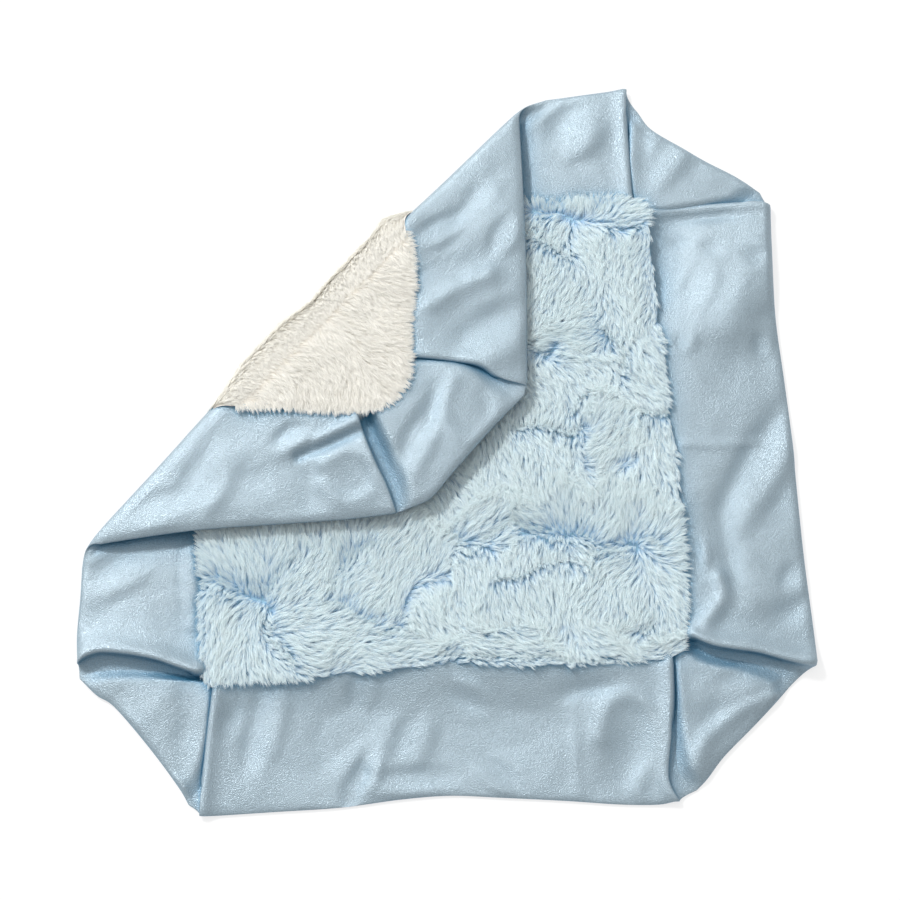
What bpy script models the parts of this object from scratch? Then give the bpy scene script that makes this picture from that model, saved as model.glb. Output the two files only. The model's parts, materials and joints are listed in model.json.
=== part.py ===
"""Comfort blanket lovey: a square of two plush panels in a wide satin border, one corner turned back.

The blanket lies on the ground with its blue side up. The origin is its centre on the ground, +X to the
right and +Y away from the viewer. Every piece is drawn as the blanket lies flat. The turned corner is
then swung over by half a turn about the fold's axis, which runs along the ground plane at 45 degrees.
"""

import math

import bmesh
import bpy
from mathutils import Matrix, Vector

# Plush panels: half the side of the square, seam to centre, and the thickness of cloth with its pile
PANEL_HALF = 0.131
BACK_PILE = 0.0036
FRONT_PILE = 0.0071
FRONT_CORNER_RADIUS = 0.005
BACK_CORNER_RADIUS = 0.028
PILE_EDGE_ROUND = 0.0028

# Satin border: the width from the seam to the outer fold, and the cloth itself
BORDER_WIDTH = 0.067
SATIN_THICKNESS = 0.0005
SEAM_RISE = 0.0007
SATIN_PUFF = 0.0022
SATIN_WAVE = 0.0011
SATIN_WAVE_LENGTH = 0.058
HEM_PINCH = 0.0024

# Knife pleats where the border turns each corner
PLEAT_DEPTH = 0.012
PLEAT_ROLL = 0.0026
PLEAT_ROLL_UNDER = 0.0009
PLEAT_FADE = 0.024
GUSSET_PUFF = 0.0026
GUSSET_HEM_PUFF = 0.001

# How far from the corner the outer end of each pleat stands, as side and corner
PLEAT_SETBACK = {
    ("left", "bottom_left"): 0.012,
    ("bottom", "bottom_left"): 0.003,
    ("bottom", "bottom_right"): 0.010,
    ("right", "bottom_right"): 0.002,
    ("right", "top_right"): 0.002,
    ("top", "top_right"): 0.001,
    ("top", "top_left"): 0.015,
    ("left", "top_left"): 0.010,
}

# Fold of the turned corner: the fold line is y = x + FOLD_OFFSET, and the cloth rolls round a centre
# that lies ROLL_INSET inside it, after a level stretch of ROLL_LEAD
FOLD_OFFSET = 0.138
ROLL_INSET = 0.009
ROLL_LEAD = 0.002
SATIN_CREASE_REACH = 0.0033
CREASE_FLATTENING_SHARE = 0.3

# Seam thread and the gap that neighbouring pieces keep
THREAD_DIAMETER = 0.0008
CLEARANCE = 0.0003

# Facets: steps across the border, round its outer fold, round a pleat, a corner and the turned fold
WIDTH_STEPS = 5
HEM_STEPS = 4
ROLL_STEPS = 4
CORNER_STEPS = 5
FOLD_STEPS = 10
FOLD_LENGTH_STEPS = 8
BAND_STEPS = 9
SPREAD_SHARE = 0.6
PILE_EDGE_STEPS = 3
GUSSET_SHARES = (0.08, 0.28, 0.5, 0.72, 0.92)

# Colours, linear
BLUE_PLUSH = (0.52, 0.69, 0.77)
CREAM_PLUSH = (0.84, 0.81, 0.74)
BLUE_SATIN = (0.40, 0.54, 0.64)
THREAD = (0.47, 0.60, 0.69)

# Worked out from the sizes above
FRONT_BOTTOM = BACK_PILE + CLEARANCE
CLOTH_TOP = FRONT_BOTTOM + FRONT_PILE
HINGE_HEIGHT = CLOTH_TOP + CLEARANCE
SEAM_CHANNEL = THREAD_DIAMETER + 2 * CLEARANCE
LAYER_PITCH = SATIN_THICKNESS + CLEARANCE
LOWEST_LAYER = SATIN_THICKNESS / 2
GUSSET_BACK, GUSSET_FRONT, TUCK_BACK, TUCK_FRONT, BAND_BACK, BAND_FRONT = (
    LOWEST_LAYER + layer * LAYER_PITCH for layer in (2, 3, 1, 4, 0, 5)
)
HEM_RADIUS = (BAND_FRONT - BAND_BACK) / 2
HEM_CENTRE = BORDER_WIDTH - HEM_RADIUS - SATIN_THICKNESS / 2
TURNED_DROOP = 2 * HINGE_HEIGHT - CLOTH_TOP - CLEARANCE - (BAND_FRONT + SATIN_THICKNESS / 2)
ROOT_2 = math.sqrt(2)
FOLD_CUT = ROLL_INSET + ROLL_LEAD + CLEARANCE
HINGE_POINT = Vector((-FOLD_OFFSET / 2, FOLD_OFFSET / 2, HINGE_HEIGHT))
HINGE_AXIS = Vector((-1, -1, 0)).normalized()

# Each side's outward direction and the direction along it, counter-clockwise seen from above
SIDES = {
    "right": (Vector((1, 0, 0)), Vector((0, 1, 0))),
    "top": (Vector((0, 1, 0)), Vector((-1, 0, 0))),
    "left": (Vector((-1, 0, 0)), Vector((0, -1, 0))),
    "bottom": (Vector((0, -1, 0)), Vector((1, 0, 0))),
}

# Each corner's side that ends there and side that starts there
CORNERS = {
    "top_right": ("right", "top"),
    "top_left": ("top", "left"),
    "bottom_left": ("left", "bottom"),
    "bottom_right": ("bottom", "right"),
}


def clear_scene():
    """Remove what the scene holds."""
    for thing in list(bpy.data.objects):
        bpy.data.objects.remove(thing, do_unlink=True)


def make_material(name, colour, roughness):
    """One Principled material, not metallic."""
    material = bpy.data.materials.new(name)
    material.use_nodes = True
    shader = material.node_tree.nodes["Principled BSDF"]
    shader.inputs["Base Color"].default_value = (*colour, 1)
    shader.inputs["Roughness"].default_value = roughness
    shader.inputs["Metallic"].default_value = 0
    return material


def add_object(name, data, collection, colour, roughness):
    """Link one sub-part to the collection, with its own material."""
    part = bpy.data.objects.new(name, data)
    data.materials.append(make_material(name, colour, roughness))
    collection.objects.link(part)
    return part


def smooth_step(share):
    """Ease from 0 to 1."""
    share = min(max(share, 0), 1)
    return share * share * (3 - 2 * share)


def spread(share):
    """Set steps closer together towards both ends."""
    return share + (smooth_step(share) - share) * SPREAD_SHARE


def hump(share):
    """Rise from 0 to 1 in the middle and fall to 0 again, level at both ends."""
    return math.sin(math.pi * share) ** 2


def on_side(side, along, outward, height):
    """A point at a place along a side, so far out from its seam, and a height."""
    out, way = SIDES[side]
    return out * (PANEL_HALF + outward) + way * along + Vector((0, 0, height))


# Plush panels

def corner_arc(corner, half, radius):
    """Points round one corner of a square of the given half side, counter-clockwise."""
    out_before = SIDES[CORNERS[corner][0]][0]
    out_after = SIDES[CORNERS[corner][1]][0]
    centre = (out_before + out_after) * (half - radius)
    points = []
    for step in range(CORNER_STEPS + 1):
        angle = math.pi / 2 * step / CORNER_STEPS
        points.append(centre + (out_before * math.cos(angle) + out_after * math.sin(angle)) * radius)
    return points


def inside_fold(point):
    """How far inside the fold line a point lies in plan."""
    return (point.x - point.y + FOLD_OFFSET) / ROOT_2


def cut_points(half, inset):
    """Where the fold's cut, so far inside the fold line, meets the left side and the top side."""
    on_left = Vector((-half, -half + FOLD_OFFSET - inset * ROOT_2, 0))
    on_top = Vector((half - FOLD_OFFSET + inset * ROOT_2, half, 0))
    return on_left, on_top


def panel_outline(half, radius, turned):
    """The lying part of a panel, or the corner of it that is turned back, counter-clockwise."""
    if turned:
        on_left, on_top = cut_points(half, -FOLD_CUT)
        return [on_top, *corner_arc("top_left", half, radius), on_left]
    on_left, on_top = cut_points(half, FOLD_CUT)
    points = [on_left]
    for corner in ("bottom_left", "bottom_right", "top_right"):
        points += corner_arc(corner, half, radius)
    return [*points, on_top]


def round_pile_edge(mesh, height):
    """Round the edge of the pile along the seam, at the given height, but not along the fold's cut."""
    shape = bmesh.new()
    shape.from_mesh(mesh)
    bmesh.ops.remove_doubles(shape, verts=shape.verts, dist=CLEARANCE / 10)
    bmesh.ops.dissolve_limit(shape, angle_limit=math.radians(1), verts=shape.verts, edges=shape.edges)
    rim = []
    for edge in shape.edges:
        level = all(abs(vert.co.z - height) < CLEARANCE for vert in edge.verts)
        on_cut = all(abs(abs(inside_fold(vert.co)) - FOLD_CUT) < CLEARANCE for vert in edge.verts)
        if level and not on_cut:
            rim.append(edge)
    bmesh.ops.bevel(shape, geom=rim, offset=PILE_EDGE_ROUND, segments=PILE_EDGE_STEPS, profile=0.5,
                    affect="EDGES", clamp_overlap=True)
    bmesh.ops.recalc_face_normals(shape, faces=shape.faces)
    shape.to_mesh(mesh)
    shape.free()


def add_panel(name, radius, bottom, pile, rounded_height, turned, collection, colour):
    """A plush panel, or its turned corner: its outline in plan with the thickness of its pile."""
    half = PANEL_HALF - SEAM_CHANNEL / 2
    curve = bpy.data.curves.new(name, "CURVE")
    curve.dimensions = "2D"
    curve.fill_mode = "BOTH"
    curve.extrude = pile / 2
    outline = panel_outline(half, radius, turned)
    spline = curve.splines.new("POLY")
    spline.points.add(len(outline) - 1)
    for point, place in zip(spline.points, outline):
        point.co = (place.x, place.y, 0, 1)
    spline.use_cyclic_u = True
    drawing = bpy.data.objects.new(name, curve)
    drawing.location.z = bottom + pile / 2
    collection.objects.link(drawing)
    bpy.context.view_layer.update()
    mesh = bpy.data.meshes.new_from_object(drawing.evaluated_get(bpy.context.evaluated_depsgraph_get()))
    mesh.transform(drawing.matrix_world)
    bpy.data.objects.remove(drawing, do_unlink=True)
    round_pile_edge(mesh, rounded_height)
    return add_object(name, mesh, collection, colour, 0.9)


# Satin border

def border_rows():
    """Rows across the border: out over the front, round the outer fold, and back underneath."""
    front = [(step / WIDTH_STEPS, math.pi / 2) for step in range(WIDTH_STEPS + 1)]
    hem = [(1, math.pi / 2 - math.pi * step / HEM_STEPS) for step in range(1, HEM_STEPS)]
    back = [(step / WIDTH_STEPS, -math.pi / 2) for step in range(WIDTH_STEPS, -1, -1)]
    return front + hem + back


def droop(share, turned):
    """How far the cloth has left its flat level, which only the turned corner's border does."""
    return TURNED_DROOP * share ** 1.5 if turned else 0


def pleat_line(side, corner, face, share):
    """Place along the side of a pleat's crease, on the front or the back, at a share of the width."""
    inner = FRONT_CORNER_RADIUS if face == "front" else BACK_CORNER_RADIUS
    outer = PLEAT_SETBACK[side, corner]
    toward = 1 if CORNERS[corner][0] == side else -1
    return toward * (PANEL_HALF - inner - (outer - inner) * share)


def cut_line(side, outward, turned):
    """Place along the left or the top side of the cut at the fold."""
    inset = -FOLD_CUT if turned else FOLD_CUT
    place = PANEL_HALF + outward - FOLD_OFFSET + inset * ROOT_2
    return place if side == "left" else -place


def outward_at(share):
    """Distance out from the seam at a share of the border's width, up to the outer fold."""
    return SEAM_CHANNEL / 2 + (HEM_CENTRE - SEAM_CHANNEL / 2) * share


class Band:
    """The satin along one side, with a rolled pleat at each corner end and a cut at the fold."""

    def __init__(self, side, turned):
        self.side = side
        self.turned = turned
        self.corners = []
        for corner, (before, after) in CORNERS.items():
            if side in (before, after) and turned == (corner == "top_left"):
                self.corners.append(corner)

    def end(self, toward, face, share):
        """Place along the side of the band's end in the direction toward, 1 or -1."""
        for corner in self.corners:
            if toward == (1 if CORNERS[corner][0] == self.side else -1):
                return pleat_line(self.side, corner, face, share)
        return cut_line(self.side, outward_at(share), self.turned)

    def has_pleat(self, toward):
        """Whether the end in that direction is a pleat."""
        return any(toward == (1 if CORNERS[corner][0] == self.side else -1) for corner in self.corners)

    def slant(self, value):
        """How far a column shifts along the side for each step outward, to keep to the fold's cut."""
        if self.has_pleat(-1) and self.has_pleat(1):
            return 0
        near_cut = value if self.has_pleat(-1) else 1 - value
        return near_cut if self.side == "left" else -near_cut

    def closeness(self, along, face, share):
        """1 in a pleat's roll, fading to 0 along the band."""
        near = 0
        for toward in (-1, 1):
            if self.has_pleat(toward):
                distance = abs(along - self.end(toward, face, share))
                near = max(near, 1 - smooth_step((distance - PLEAT_DEPTH / 2) / PLEAT_FADE))
        return near

    def outer_height(self, along, face, share):
        """Height of the layer that shows."""
        near = self.closeness(along, face, share)
        sag = droop(share, self.turned)
        if face == "back":
            return BAND_BACK + sag - (PLEAT_ROLL_UNDER * hump(share) * near if self.turned else 0)
        wave = SATIN_WAVE * math.sin(2 * math.pi * along / SATIN_WAVE_LENGTH)
        lying = (SATIN_PUFF + wave) * hump(share) - HEM_PINCH * share * share
        rolled = PLEAT_ROLL * hump(share)
        return BAND_FRONT + sag + SEAM_RISE * (1 - share) + rolled * near + lying * (1 - near)

    def tucked_height(self, face, share):
        """Height of the layer that the pleat tucks under the one that shows."""
        return (TUCK_FRONT if face == "front" else TUCK_BACK) + droop(share, self.turned)

    def place(self, column, face, share):
        """Place along the side, and height, of a column at a share of the border's width."""
        kind, toward, value = column
        if kind == "band":
            first = self.end(-1, face, share)
            along = first + (self.end(1, face, share) - first) * value
            return along, self.outer_height(along, face, share)
        crease = self.end(toward, face, share)
        outer = self.outer_height(crease, face, share)
        inner = self.tucked_height(face, share)
        if kind == "tuck":
            return crease - toward * PLEAT_DEPTH * value, inner
        radius = abs(outer - inner) / 2
        swing = math.sin(value) * (1 if face == "front" else -1)
        return crease + toward * radius * math.cos(value), (outer + inner) / 2 + radius * swing

    def columns(self):
        """Columns along the band, from one pleat's hidden edge to the other's."""
        roll = [math.pi / 2 - math.pi * step / ROLL_STEPS for step in range(1, ROLL_STEPS + 1)]
        pleat = [("roll", 1, angle) for angle in roll] + [("tuck", 1, 0.5), ("tuck", 1, 1)]
        columns = [("band", 0, spread(step / BAND_STEPS)) for step in range(BAND_STEPS + 1)]
        if self.has_pleat(1):
            columns = columns + pleat
        if self.has_pleat(-1):
            columns = [(kind, -1, value) for kind, _, value in reversed(pleat)] + columns
        return columns

    def point(self, column, share, angle):
        """A point of the sheet's middle surface."""
        front_along, front_height = self.place(column, "front", share)
        back_along, back_height = self.place(column, "back", share)
        radius = (front_height - back_height) / 2
        blend = (1 + math.sin(angle)) / 2
        along = back_along + (front_along - back_along) * blend
        height = (front_height + back_height) / 2 + radius * math.sin(angle)
        beyond = radius * math.cos(angle) if share == 1 else 0
        if share == 1 and column[0] == "band":
            beyond += max(HEM_RADIUS - radius, 0)
            along += beyond * self.slant(column[2])
        return on_side(self.side, along, outward_at(share) + beyond, height)


class Gusset:
    """The satin that turns one corner, tucked under the bands' pleats on both sides."""

    def __init__(self, corner):
        self.corner = corner
        self.turned = corner == "top_left"

    def columns(self):
        """Columns from the hidden edge under one band, round the corner, to the other's."""
        under = [("before", 1), ("before", 0.5), ("before", 0)]
        shown = [("shown", share) for share in GUSSET_SHARES]
        return under + shown + [("after", 0), ("after", 0.5), ("after", 1)]

    def edge_point(self, column, face, share):
        """Place in plan of a column at a share of the border's width."""
        before, after = CORNERS[self.corner]
        kind, value = column
        if kind == "before":
            crease = pleat_line(before, self.corner, face, share)
            return on_side(before, crease - PLEAT_DEPTH * value, outward_at(share), 0)
        if kind == "after":
            crease = pleat_line(after, self.corner, face, share)
            return on_side(after, crease + PLEAT_DEPTH * value, outward_at(share), 0)
        radius = FRONT_CORNER_RADIUS if face == "front" else BACK_CORNER_RADIUS
        out_before, out_after = SIDES[before][0], SIDES[after][0]
        angle = math.pi / 2 * value
        centre = (out_before + out_after) * (PANEL_HALF - radius)
        way = out_before * math.cos(angle) + out_after * math.sin(angle)
        inner = centre + way * (radius + SEAM_CHANNEL / 2)
        first = self.edge_point(("before", 0), face, 1)
        last = self.edge_point(("after", 0), face, 1)
        return inner + (first + (last - first) * value - inner) * share

    def heading(self, column):
        """Direction in which a column's outer fold faces."""
        before, after = CORNERS[self.corner]
        kind, value = column
        if kind == "before":
            return SIDES[before][0]
        if kind == "after":
            return SIDES[after][0]
        return (SIDES[before][0] * (1 - value) + SIDES[after][0] * value).normalized()

    def height(self, column, face, share):
        """Height of a column at a share of the border's width."""
        rise = hump(column[1]) if column[0] == "shown" else 0
        sag = droop(share, self.turned)
        hem = GUSSET_HEM_PUFF * share * rise
        if face == "back":
            return GUSSET_BACK + sag - hem
        return GUSSET_FRONT + sag + hem + (GUSSET_PUFF * hump(share) + SEAM_RISE * (1 - share)) * rise

    def point(self, column, share, angle):
        """A point of the sheet's middle surface."""
        front, back = self.edge_point(column, "front", share), self.edge_point(column, "back", share)
        front_height, back_height = self.height(column, "front", share), self.height(column, "back", share)
        radius = (front_height - back_height) / 2
        place = back + (front - back) * (1 + math.sin(angle)) / 2
        if share == 1:
            place = place + self.heading(column) * radius * math.cos(angle)
        return place + Vector((0, 0, (front_height + back_height) / 2 + radius * math.sin(angle)))


def add_sheet(name, place, across, along, thickness, collection, colour, roughness):
    """A grid laid out by place(row, column), made solid on both sides of itself."""
    shape = bmesh.new()
    bmesh.ops.create_grid(shape, x_segments=along - 1, y_segments=across - 1, size=1)
    for vert in shape.verts:
        column = round((vert.co.x + 1) / 2 * (along - 1))
        row = round((vert.co.y + 1) / 2 * (across - 1))
        vert.co = place(row, column)
    mesh = bpy.data.meshes.new(name)
    shape.to_mesh(mesh)
    shape.free()
    mesh.shade_smooth()
    part = add_object(name, mesh, collection, colour, roughness)
    solid = part.modifiers.new("cloth", "SOLIDIFY")
    solid.thickness = thickness
    solid.offset = 0
    return part


def add_satin(name, piece, collection):
    """A band or a gusset of the border."""
    rows = border_rows()
    columns = piece.columns()

    def place(row, column):
        share, angle = rows[row]
        return piece.point(columns[column], share, angle)

    return add_sheet(name, place, len(rows), len(columns), SATIN_THICKNESS, collection, BLUE_SATIN, 0.35)


# Turned fold

def in_fold(lengthwise, inward, height):
    """A point by its place along the fold line, its distance inside it, and its height."""
    x = (lengthwise + inward) / ROOT_2 - FOLD_OFFSET / 2
    y = (lengthwise - inward) / ROOT_2 + FOLD_OFFSET / 2
    return Vector((x, y, height))


def fold_rows():
    """Angle round the roll and level distance before it, from the lying cloth to the turned one."""
    turns = [(math.pi * (step / FOLD_STEPS - 0.5), 0) for step in range(FOLD_STEPS + 1)]
    return [(-math.pi / 2, -ROLL_LEAD), *turns, (math.pi / 2, ROLL_LEAD)]


def along_fold(half, angle, lead):
    """Where a side of the square of the given half side crosses a row of the fold."""
    return (FOLD_OFFSET - 2 * half) / ROOT_2 + ROLL_INSET * angle / (math.pi / 2) + lead


def add_plush_fold(name, radius, thickness, collection, colour):
    """The strip of a plush panel that rolls round from the lying part to the turned corner."""

    def place(row, column):
        angle, lead = rows[row]
        end = along_fold(PANEL_HALF - SEAM_CHANNEL / 2, angle, lead)
        lengthwise = end - 2 * end * column / FOLD_LENGTH_STEPS
        inward = ROLL_INSET + abs(lead) - radius * math.cos(angle)
        return in_fold(lengthwise, inward, HINGE_HEIGHT + radius * math.sin(angle))

    rows = fold_rows()
    return add_sheet(name, place, len(rows), FOLD_LENGTH_STEPS + 1, thickness, collection, colour, 0.9)


def add_satin_fold(name, toward, collection):
    """The strip of border that rolls round beside the plush: toward is -1 on the left, 1 at the top."""
    lying = (BAND_FRONT + BAND_BACK) / 2
    full = HINGE_HEIGHT - lying

    def place(row, column):
        angle, lead = rows[row]
        share = column / FOLD_LENGTH_STEPS
        outward = SEAM_CHANNEL / 2 + (BORDER_WIDTH - SEAM_CHANNEL / 2) * share
        lengthwise = -toward * along_fold(PANEL_HALF + outward, angle, lead)
        turned = 2 * HINGE_HEIGHT - lying - droop(share, True)
        reach = full + (SATIN_CREASE_REACH - full) * smooth_step(share / CREASE_FLATTENING_SHARE)
        height = (turned + lying) / 2 + (turned - lying) / 2 * math.sin(angle)
        return in_fold(lengthwise, ROLL_INSET + abs(lead) - reach * math.cos(angle), height)

    rows = fold_rows()
    thickness = 2 * SATIN_THICKNESS + CLEARANCE
    columns = FOLD_LENGTH_STEPS + 1
    return add_sheet(name, place, len(rows), columns, thickness, collection, BLUE_SATIN, 0.35)


# Seam thread

def add_thread(name, turned, collection):
    """The thread of the seam between the plush and the satin, in the channel that they leave."""
    path = panel_outline(PANEL_HALF, FRONT_CORNER_RADIUS, turned)
    height = (BACK_PILE + FRONT_BOTTOM) / 2
    curve = bpy.data.curves.new(name, "CURVE")
    curve.dimensions = "3D"
    curve.bevel_depth = THREAD_DIAMETER / 2
    curve.bevel_resolution = 1
    curve.use_fill_caps = True
    spline = curve.splines.new("POLY")
    spline.points.add(len(path) - 1)
    for point, place in zip(spline.points, path):
        point.co = (place.x, place.y, height, 1)
    return add_object(name, curve, collection, THREAD, 0.6)


def turn_corner(parts, collection):
    """Hang the corner's pieces on the fold's axis and swing them over by half a turn."""
    hinge = bpy.data.objects.new("corner_fold_axis", None)
    hinge.location = HINGE_POINT
    collection.objects.link(hinge)
    bpy.context.view_layer.update()
    flat = hinge.matrix_world.inverted()
    for part in parts:
        part.parent = hinge
        part.matrix_parent_inverse = flat
    hinge.matrix_world = Matrix.Translation(HINGE_POINT) @ Matrix.Rotation(math.pi, 4, HINGE_AXIS)
    bpy.context.view_layer.update()


def add_lying_blanket(collection):
    """Everything that lies on the ground."""
    add_panel("back_plush_panel", BACK_CORNER_RADIUS, 0, BACK_PILE, 0, False, collection, CREAM_PLUSH)
    add_panel("front_plush_panel", FRONT_CORNER_RADIUS, FRONT_BOTTOM, FRONT_PILE, CLOTH_TOP, False,
              collection, BLUE_PLUSH)
    for side in SIDES:
        add_satin("satin_band_" + side, Band(side, False), collection)
    for corner in ("bottom_left", "bottom_right", "top_right"):
        add_satin("satin_corner_" + corner, Gusset(corner), collection)
    add_thread("border_seam_thread", False, collection)


def add_turned_corner(collection):
    """The top left corner, turned back over the blanket."""
    parts = [
        add_panel("back_plush_corner", BACK_CORNER_RADIUS, 0, BACK_PILE, 0, True, collection,
                  CREAM_PLUSH),
        add_panel("front_plush_corner", FRONT_CORNER_RADIUS, FRONT_BOTTOM, FRONT_PILE, CLOTH_TOP, True,
                  collection, BLUE_PLUSH),
        add_satin("satin_turned_left", Band("left", True), collection),
        add_satin("satin_turned_top", Band("top", True), collection),
        add_satin("satin_corner_top_left", Gusset("top_left"), collection),
        add_thread("turned_seam_thread", True, collection),
    ]
    turn_corner(parts, collection)


def add_fold(collection):
    """The cloth that rolls over between the two."""
    back_radius = HINGE_HEIGHT - BACK_PILE / 2
    front_radius = HINGE_HEIGHT - FRONT_BOTTOM - FRONT_PILE / 2
    add_plush_fold("back_plush_fold", back_radius, BACK_PILE - 2 * CLEARANCE, collection, CREAM_PLUSH)
    add_plush_fold("front_plush_fold", front_radius, FRONT_PILE, collection, BLUE_PLUSH)
    add_satin_fold("satin_fold_left", -1, collection)
    add_satin_fold("satin_fold_top", 1, collection)


def main():
    clear_scene()
    collection = bpy.data.collections.new("comfort_blanket_lovey")
    bpy.context.scene.collection.children.link(collection)
    add_lying_blanket(collection)
    add_turned_corner(collection)
    add_fold(collection)


main()
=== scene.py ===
import json
import math
from types import SimpleNamespace

import bpy
import numpy as np
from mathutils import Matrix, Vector


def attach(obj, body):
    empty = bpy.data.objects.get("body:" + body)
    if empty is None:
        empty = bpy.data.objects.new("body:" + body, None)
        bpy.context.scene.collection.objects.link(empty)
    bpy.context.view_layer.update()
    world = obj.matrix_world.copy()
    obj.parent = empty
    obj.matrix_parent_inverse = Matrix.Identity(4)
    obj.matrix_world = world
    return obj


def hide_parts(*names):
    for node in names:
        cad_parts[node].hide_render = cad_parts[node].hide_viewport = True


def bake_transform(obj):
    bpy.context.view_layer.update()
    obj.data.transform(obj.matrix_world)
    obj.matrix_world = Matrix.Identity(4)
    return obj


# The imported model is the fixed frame
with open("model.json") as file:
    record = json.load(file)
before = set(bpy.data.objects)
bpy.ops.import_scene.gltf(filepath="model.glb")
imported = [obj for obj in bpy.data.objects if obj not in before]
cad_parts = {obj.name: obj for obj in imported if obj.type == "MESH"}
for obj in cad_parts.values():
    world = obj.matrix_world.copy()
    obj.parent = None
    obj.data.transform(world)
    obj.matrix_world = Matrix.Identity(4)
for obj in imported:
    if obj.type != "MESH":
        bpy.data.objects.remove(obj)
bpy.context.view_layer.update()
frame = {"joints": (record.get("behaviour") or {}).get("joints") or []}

# All shapes below are worked out in millimetres and brought to metres as their mesh is made
MM = 0.001
HINGE = np.array(frame["joints"][0]["pos_m"]) / MM
FOLD_OFFSET = HINGE[1] - HINGE[0]
HINGE_HEIGHT = HINGE[2]
FOLD_CUT = 11.3
CUT_OFFSET = FOLD_OFFSET - FOLD_CUT * math.sqrt(2)
FOLD_SIDE = np.array([1.0, -1.0]) / math.sqrt(2)

# The photograph's view
VIEW_ELEVATION = math.radians(75)
VIEW_TURN = math.radians(-2.08)
VIEW_DISTANCE = 1.25
VIEW_TARGET = Vector((0.0110, -0.0081, 0))
SENSOR_WIDTH = 36
LENS = 91.6
PHOTO_WIDTH = 900
PIXEL = SENSOR_WIDTH / LENS / PHOTO_WIDTH

# The studio, in metres: one lamp, and a world that is brighter towards a window
LAMP_PLACE = (-1.8, 2.2, 2.6)
LAMP_SIZE = 0.6
LAMP_POWER = 113
WINDOW_SIDE = (-0.28, 0.62, 0.73)
WINDOW_START = 0.4
WINDOW_FULL = 0.95
SHADE_SIDE_STRENGTH = 0.5
WINDOW_SIDE_STRENGTH = 1.1
FLOOR_SIZE = 8
FLOOR_GLOW = 1.03
FLOOR_GLOW_SHARE = 0.7

# Colours, as sRGB hex
SATIN_COLOUR = "96A9B4"
# Painted shade: the satin's colour where ambient occlusion finds cloth near, in folds, pleats and under the
# turned corner
SATIN_PAINTED_SHADE_COLOUR = "31799C"
BLUE_ROOT_COLOUR = "D0E9FB"
BLUE_TIP_COLOUR = "F6FEFF"
BLUE_KNIT_COLOUR = "97BACC"
CREAM_ROOT_COLOUR = "FEFBF5"
CREAM_TIP_COLOUR = "FFFEFA"
THREAD_COLOUR = "B9D0DD"
FLOOR_COLOUR = "F4F4F4"

# How fine the cloths' textures are, as features a metre, and how deep, in metres
SATIN_GRAIN = 1800
SATIN_GRAIN_DEPTH = 0.00036
SATIN_PUCKERS = 230
SATIN_PUCKER_DEPTH = 0.0004
SATIN_CLOUDS = 26
# How far, in metres, the satin looks for nearby cloth or floor to paint its shade
PAINTED_SHADE_REACH = 0.02
KNIT_LOOPS = 700
KNIT_DEPTH = 0.0004
THREAD_TWIST = 4000
THREAD_TWIST_DEPTH = 0.0002

# Columns along a satin border, and rows across it from its seam to its hem
COLUMN_STEP = 2.0
FEWEST_COLUMNS = 12
ROLL_COLUMNS = 14
FOLD_COLUMNS = 26
FLAT_ROWS = 34
HEM_ROWS = 7
HEM_ROUND_SHARE = 0.07
flat_shares = np.linspace(0, 1 - HEM_ROUND_SHARE, FLAT_ROWS)
hem_turn = np.linspace(0, math.pi / 2, HEM_ROWS + 1)[1:]
row_shares = np.concatenate([flat_shares, 1 - HEM_ROUND_SHARE * (1 - np.sin(hem_turn))])
hem_closing = np.concatenate([np.ones(FLAT_ROWS), np.cos(hem_turn)])

# The forms of the satin: its folds, creases and pleats, and its slope down to the turned corner's fold
RELIEF_GAIN = 1.3
LEAN_REACH = 1.2
RIDGE_STEPS = 40
CREASE_GAIN = 0.5
LONG_CREASE = 62
LONG_CREASE_HEIGHT = 0.9
SHORT_CREASE = 26
SHORT_CREASE_HEIGHT = 0.24
PUCKER = 9
PUCKER_HEIGHT = 0.05
PUFF_POWER = 0.8
SEAM_FADE_SHARE = 0.12
SEAM_RELIEF = 0.25
SEAM_CREST = 0.2
THINNEST = 0.5
CREST_WIDTH = 6.5
LIFTED_SHARE = 0.75
CLOSING_DEPTH = 1.5
OPEN_LIP = 3.2
OPEN_UNDERCUT = 5.5
TIP_START_SHARE = 0.72
TUCK_RISE = 9.0
LOW_BULGE = 0.8
HIGH_BULGE = 1.75
FOLD_SLOPE = 0.12
FOLD_SLOPE_LENGTH = 18.0
FOLD_SLOPE_START = 0.35


# Curves and surfaces

def smooth_step(x):
    x = np.clip(x, 0, 1)
    return x * x * (3 - 2 * x)


def unit(vectors):
    return vectors / np.maximum(np.linalg.norm(vectors, axis=-1, keepdims=True), 1e-9)


def smooth_line(points, shares):
    """Points at these shares of the length of a Catmull-Rom curve through the given points."""
    known = np.array(points, float)
    ends = (2 * known[:1] - known[1:2], known, 2 * known[-1:] - known[-2:-1])
    padded = np.concatenate(ends)
    place = np.linspace(0, len(known) - 1, 30 * len(known))
    i = np.minimum(place.astype(int), len(known) - 2)
    f = (place - i)[:, None]
    a, b, c, d = (padded[i + k] for k in range(4))
    curve = b + f * (c - a) / 2 + f**2 * (a - 2.5 * b + 2 * c - d / 2)
    curve += f**3 * (1.5 * (b - c) + (d - a) / 2)
    travelled = np.concatenate([[0], np.cumsum(np.linalg.norm(np.diff(curve, axis=0), axis=1))])
    wanted = np.asarray(shares) * travelled[-1]
    return np.stack([np.interp(wanted, travelled, curve[:, k]) for k in range(curve.shape[1])], 1)


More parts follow.
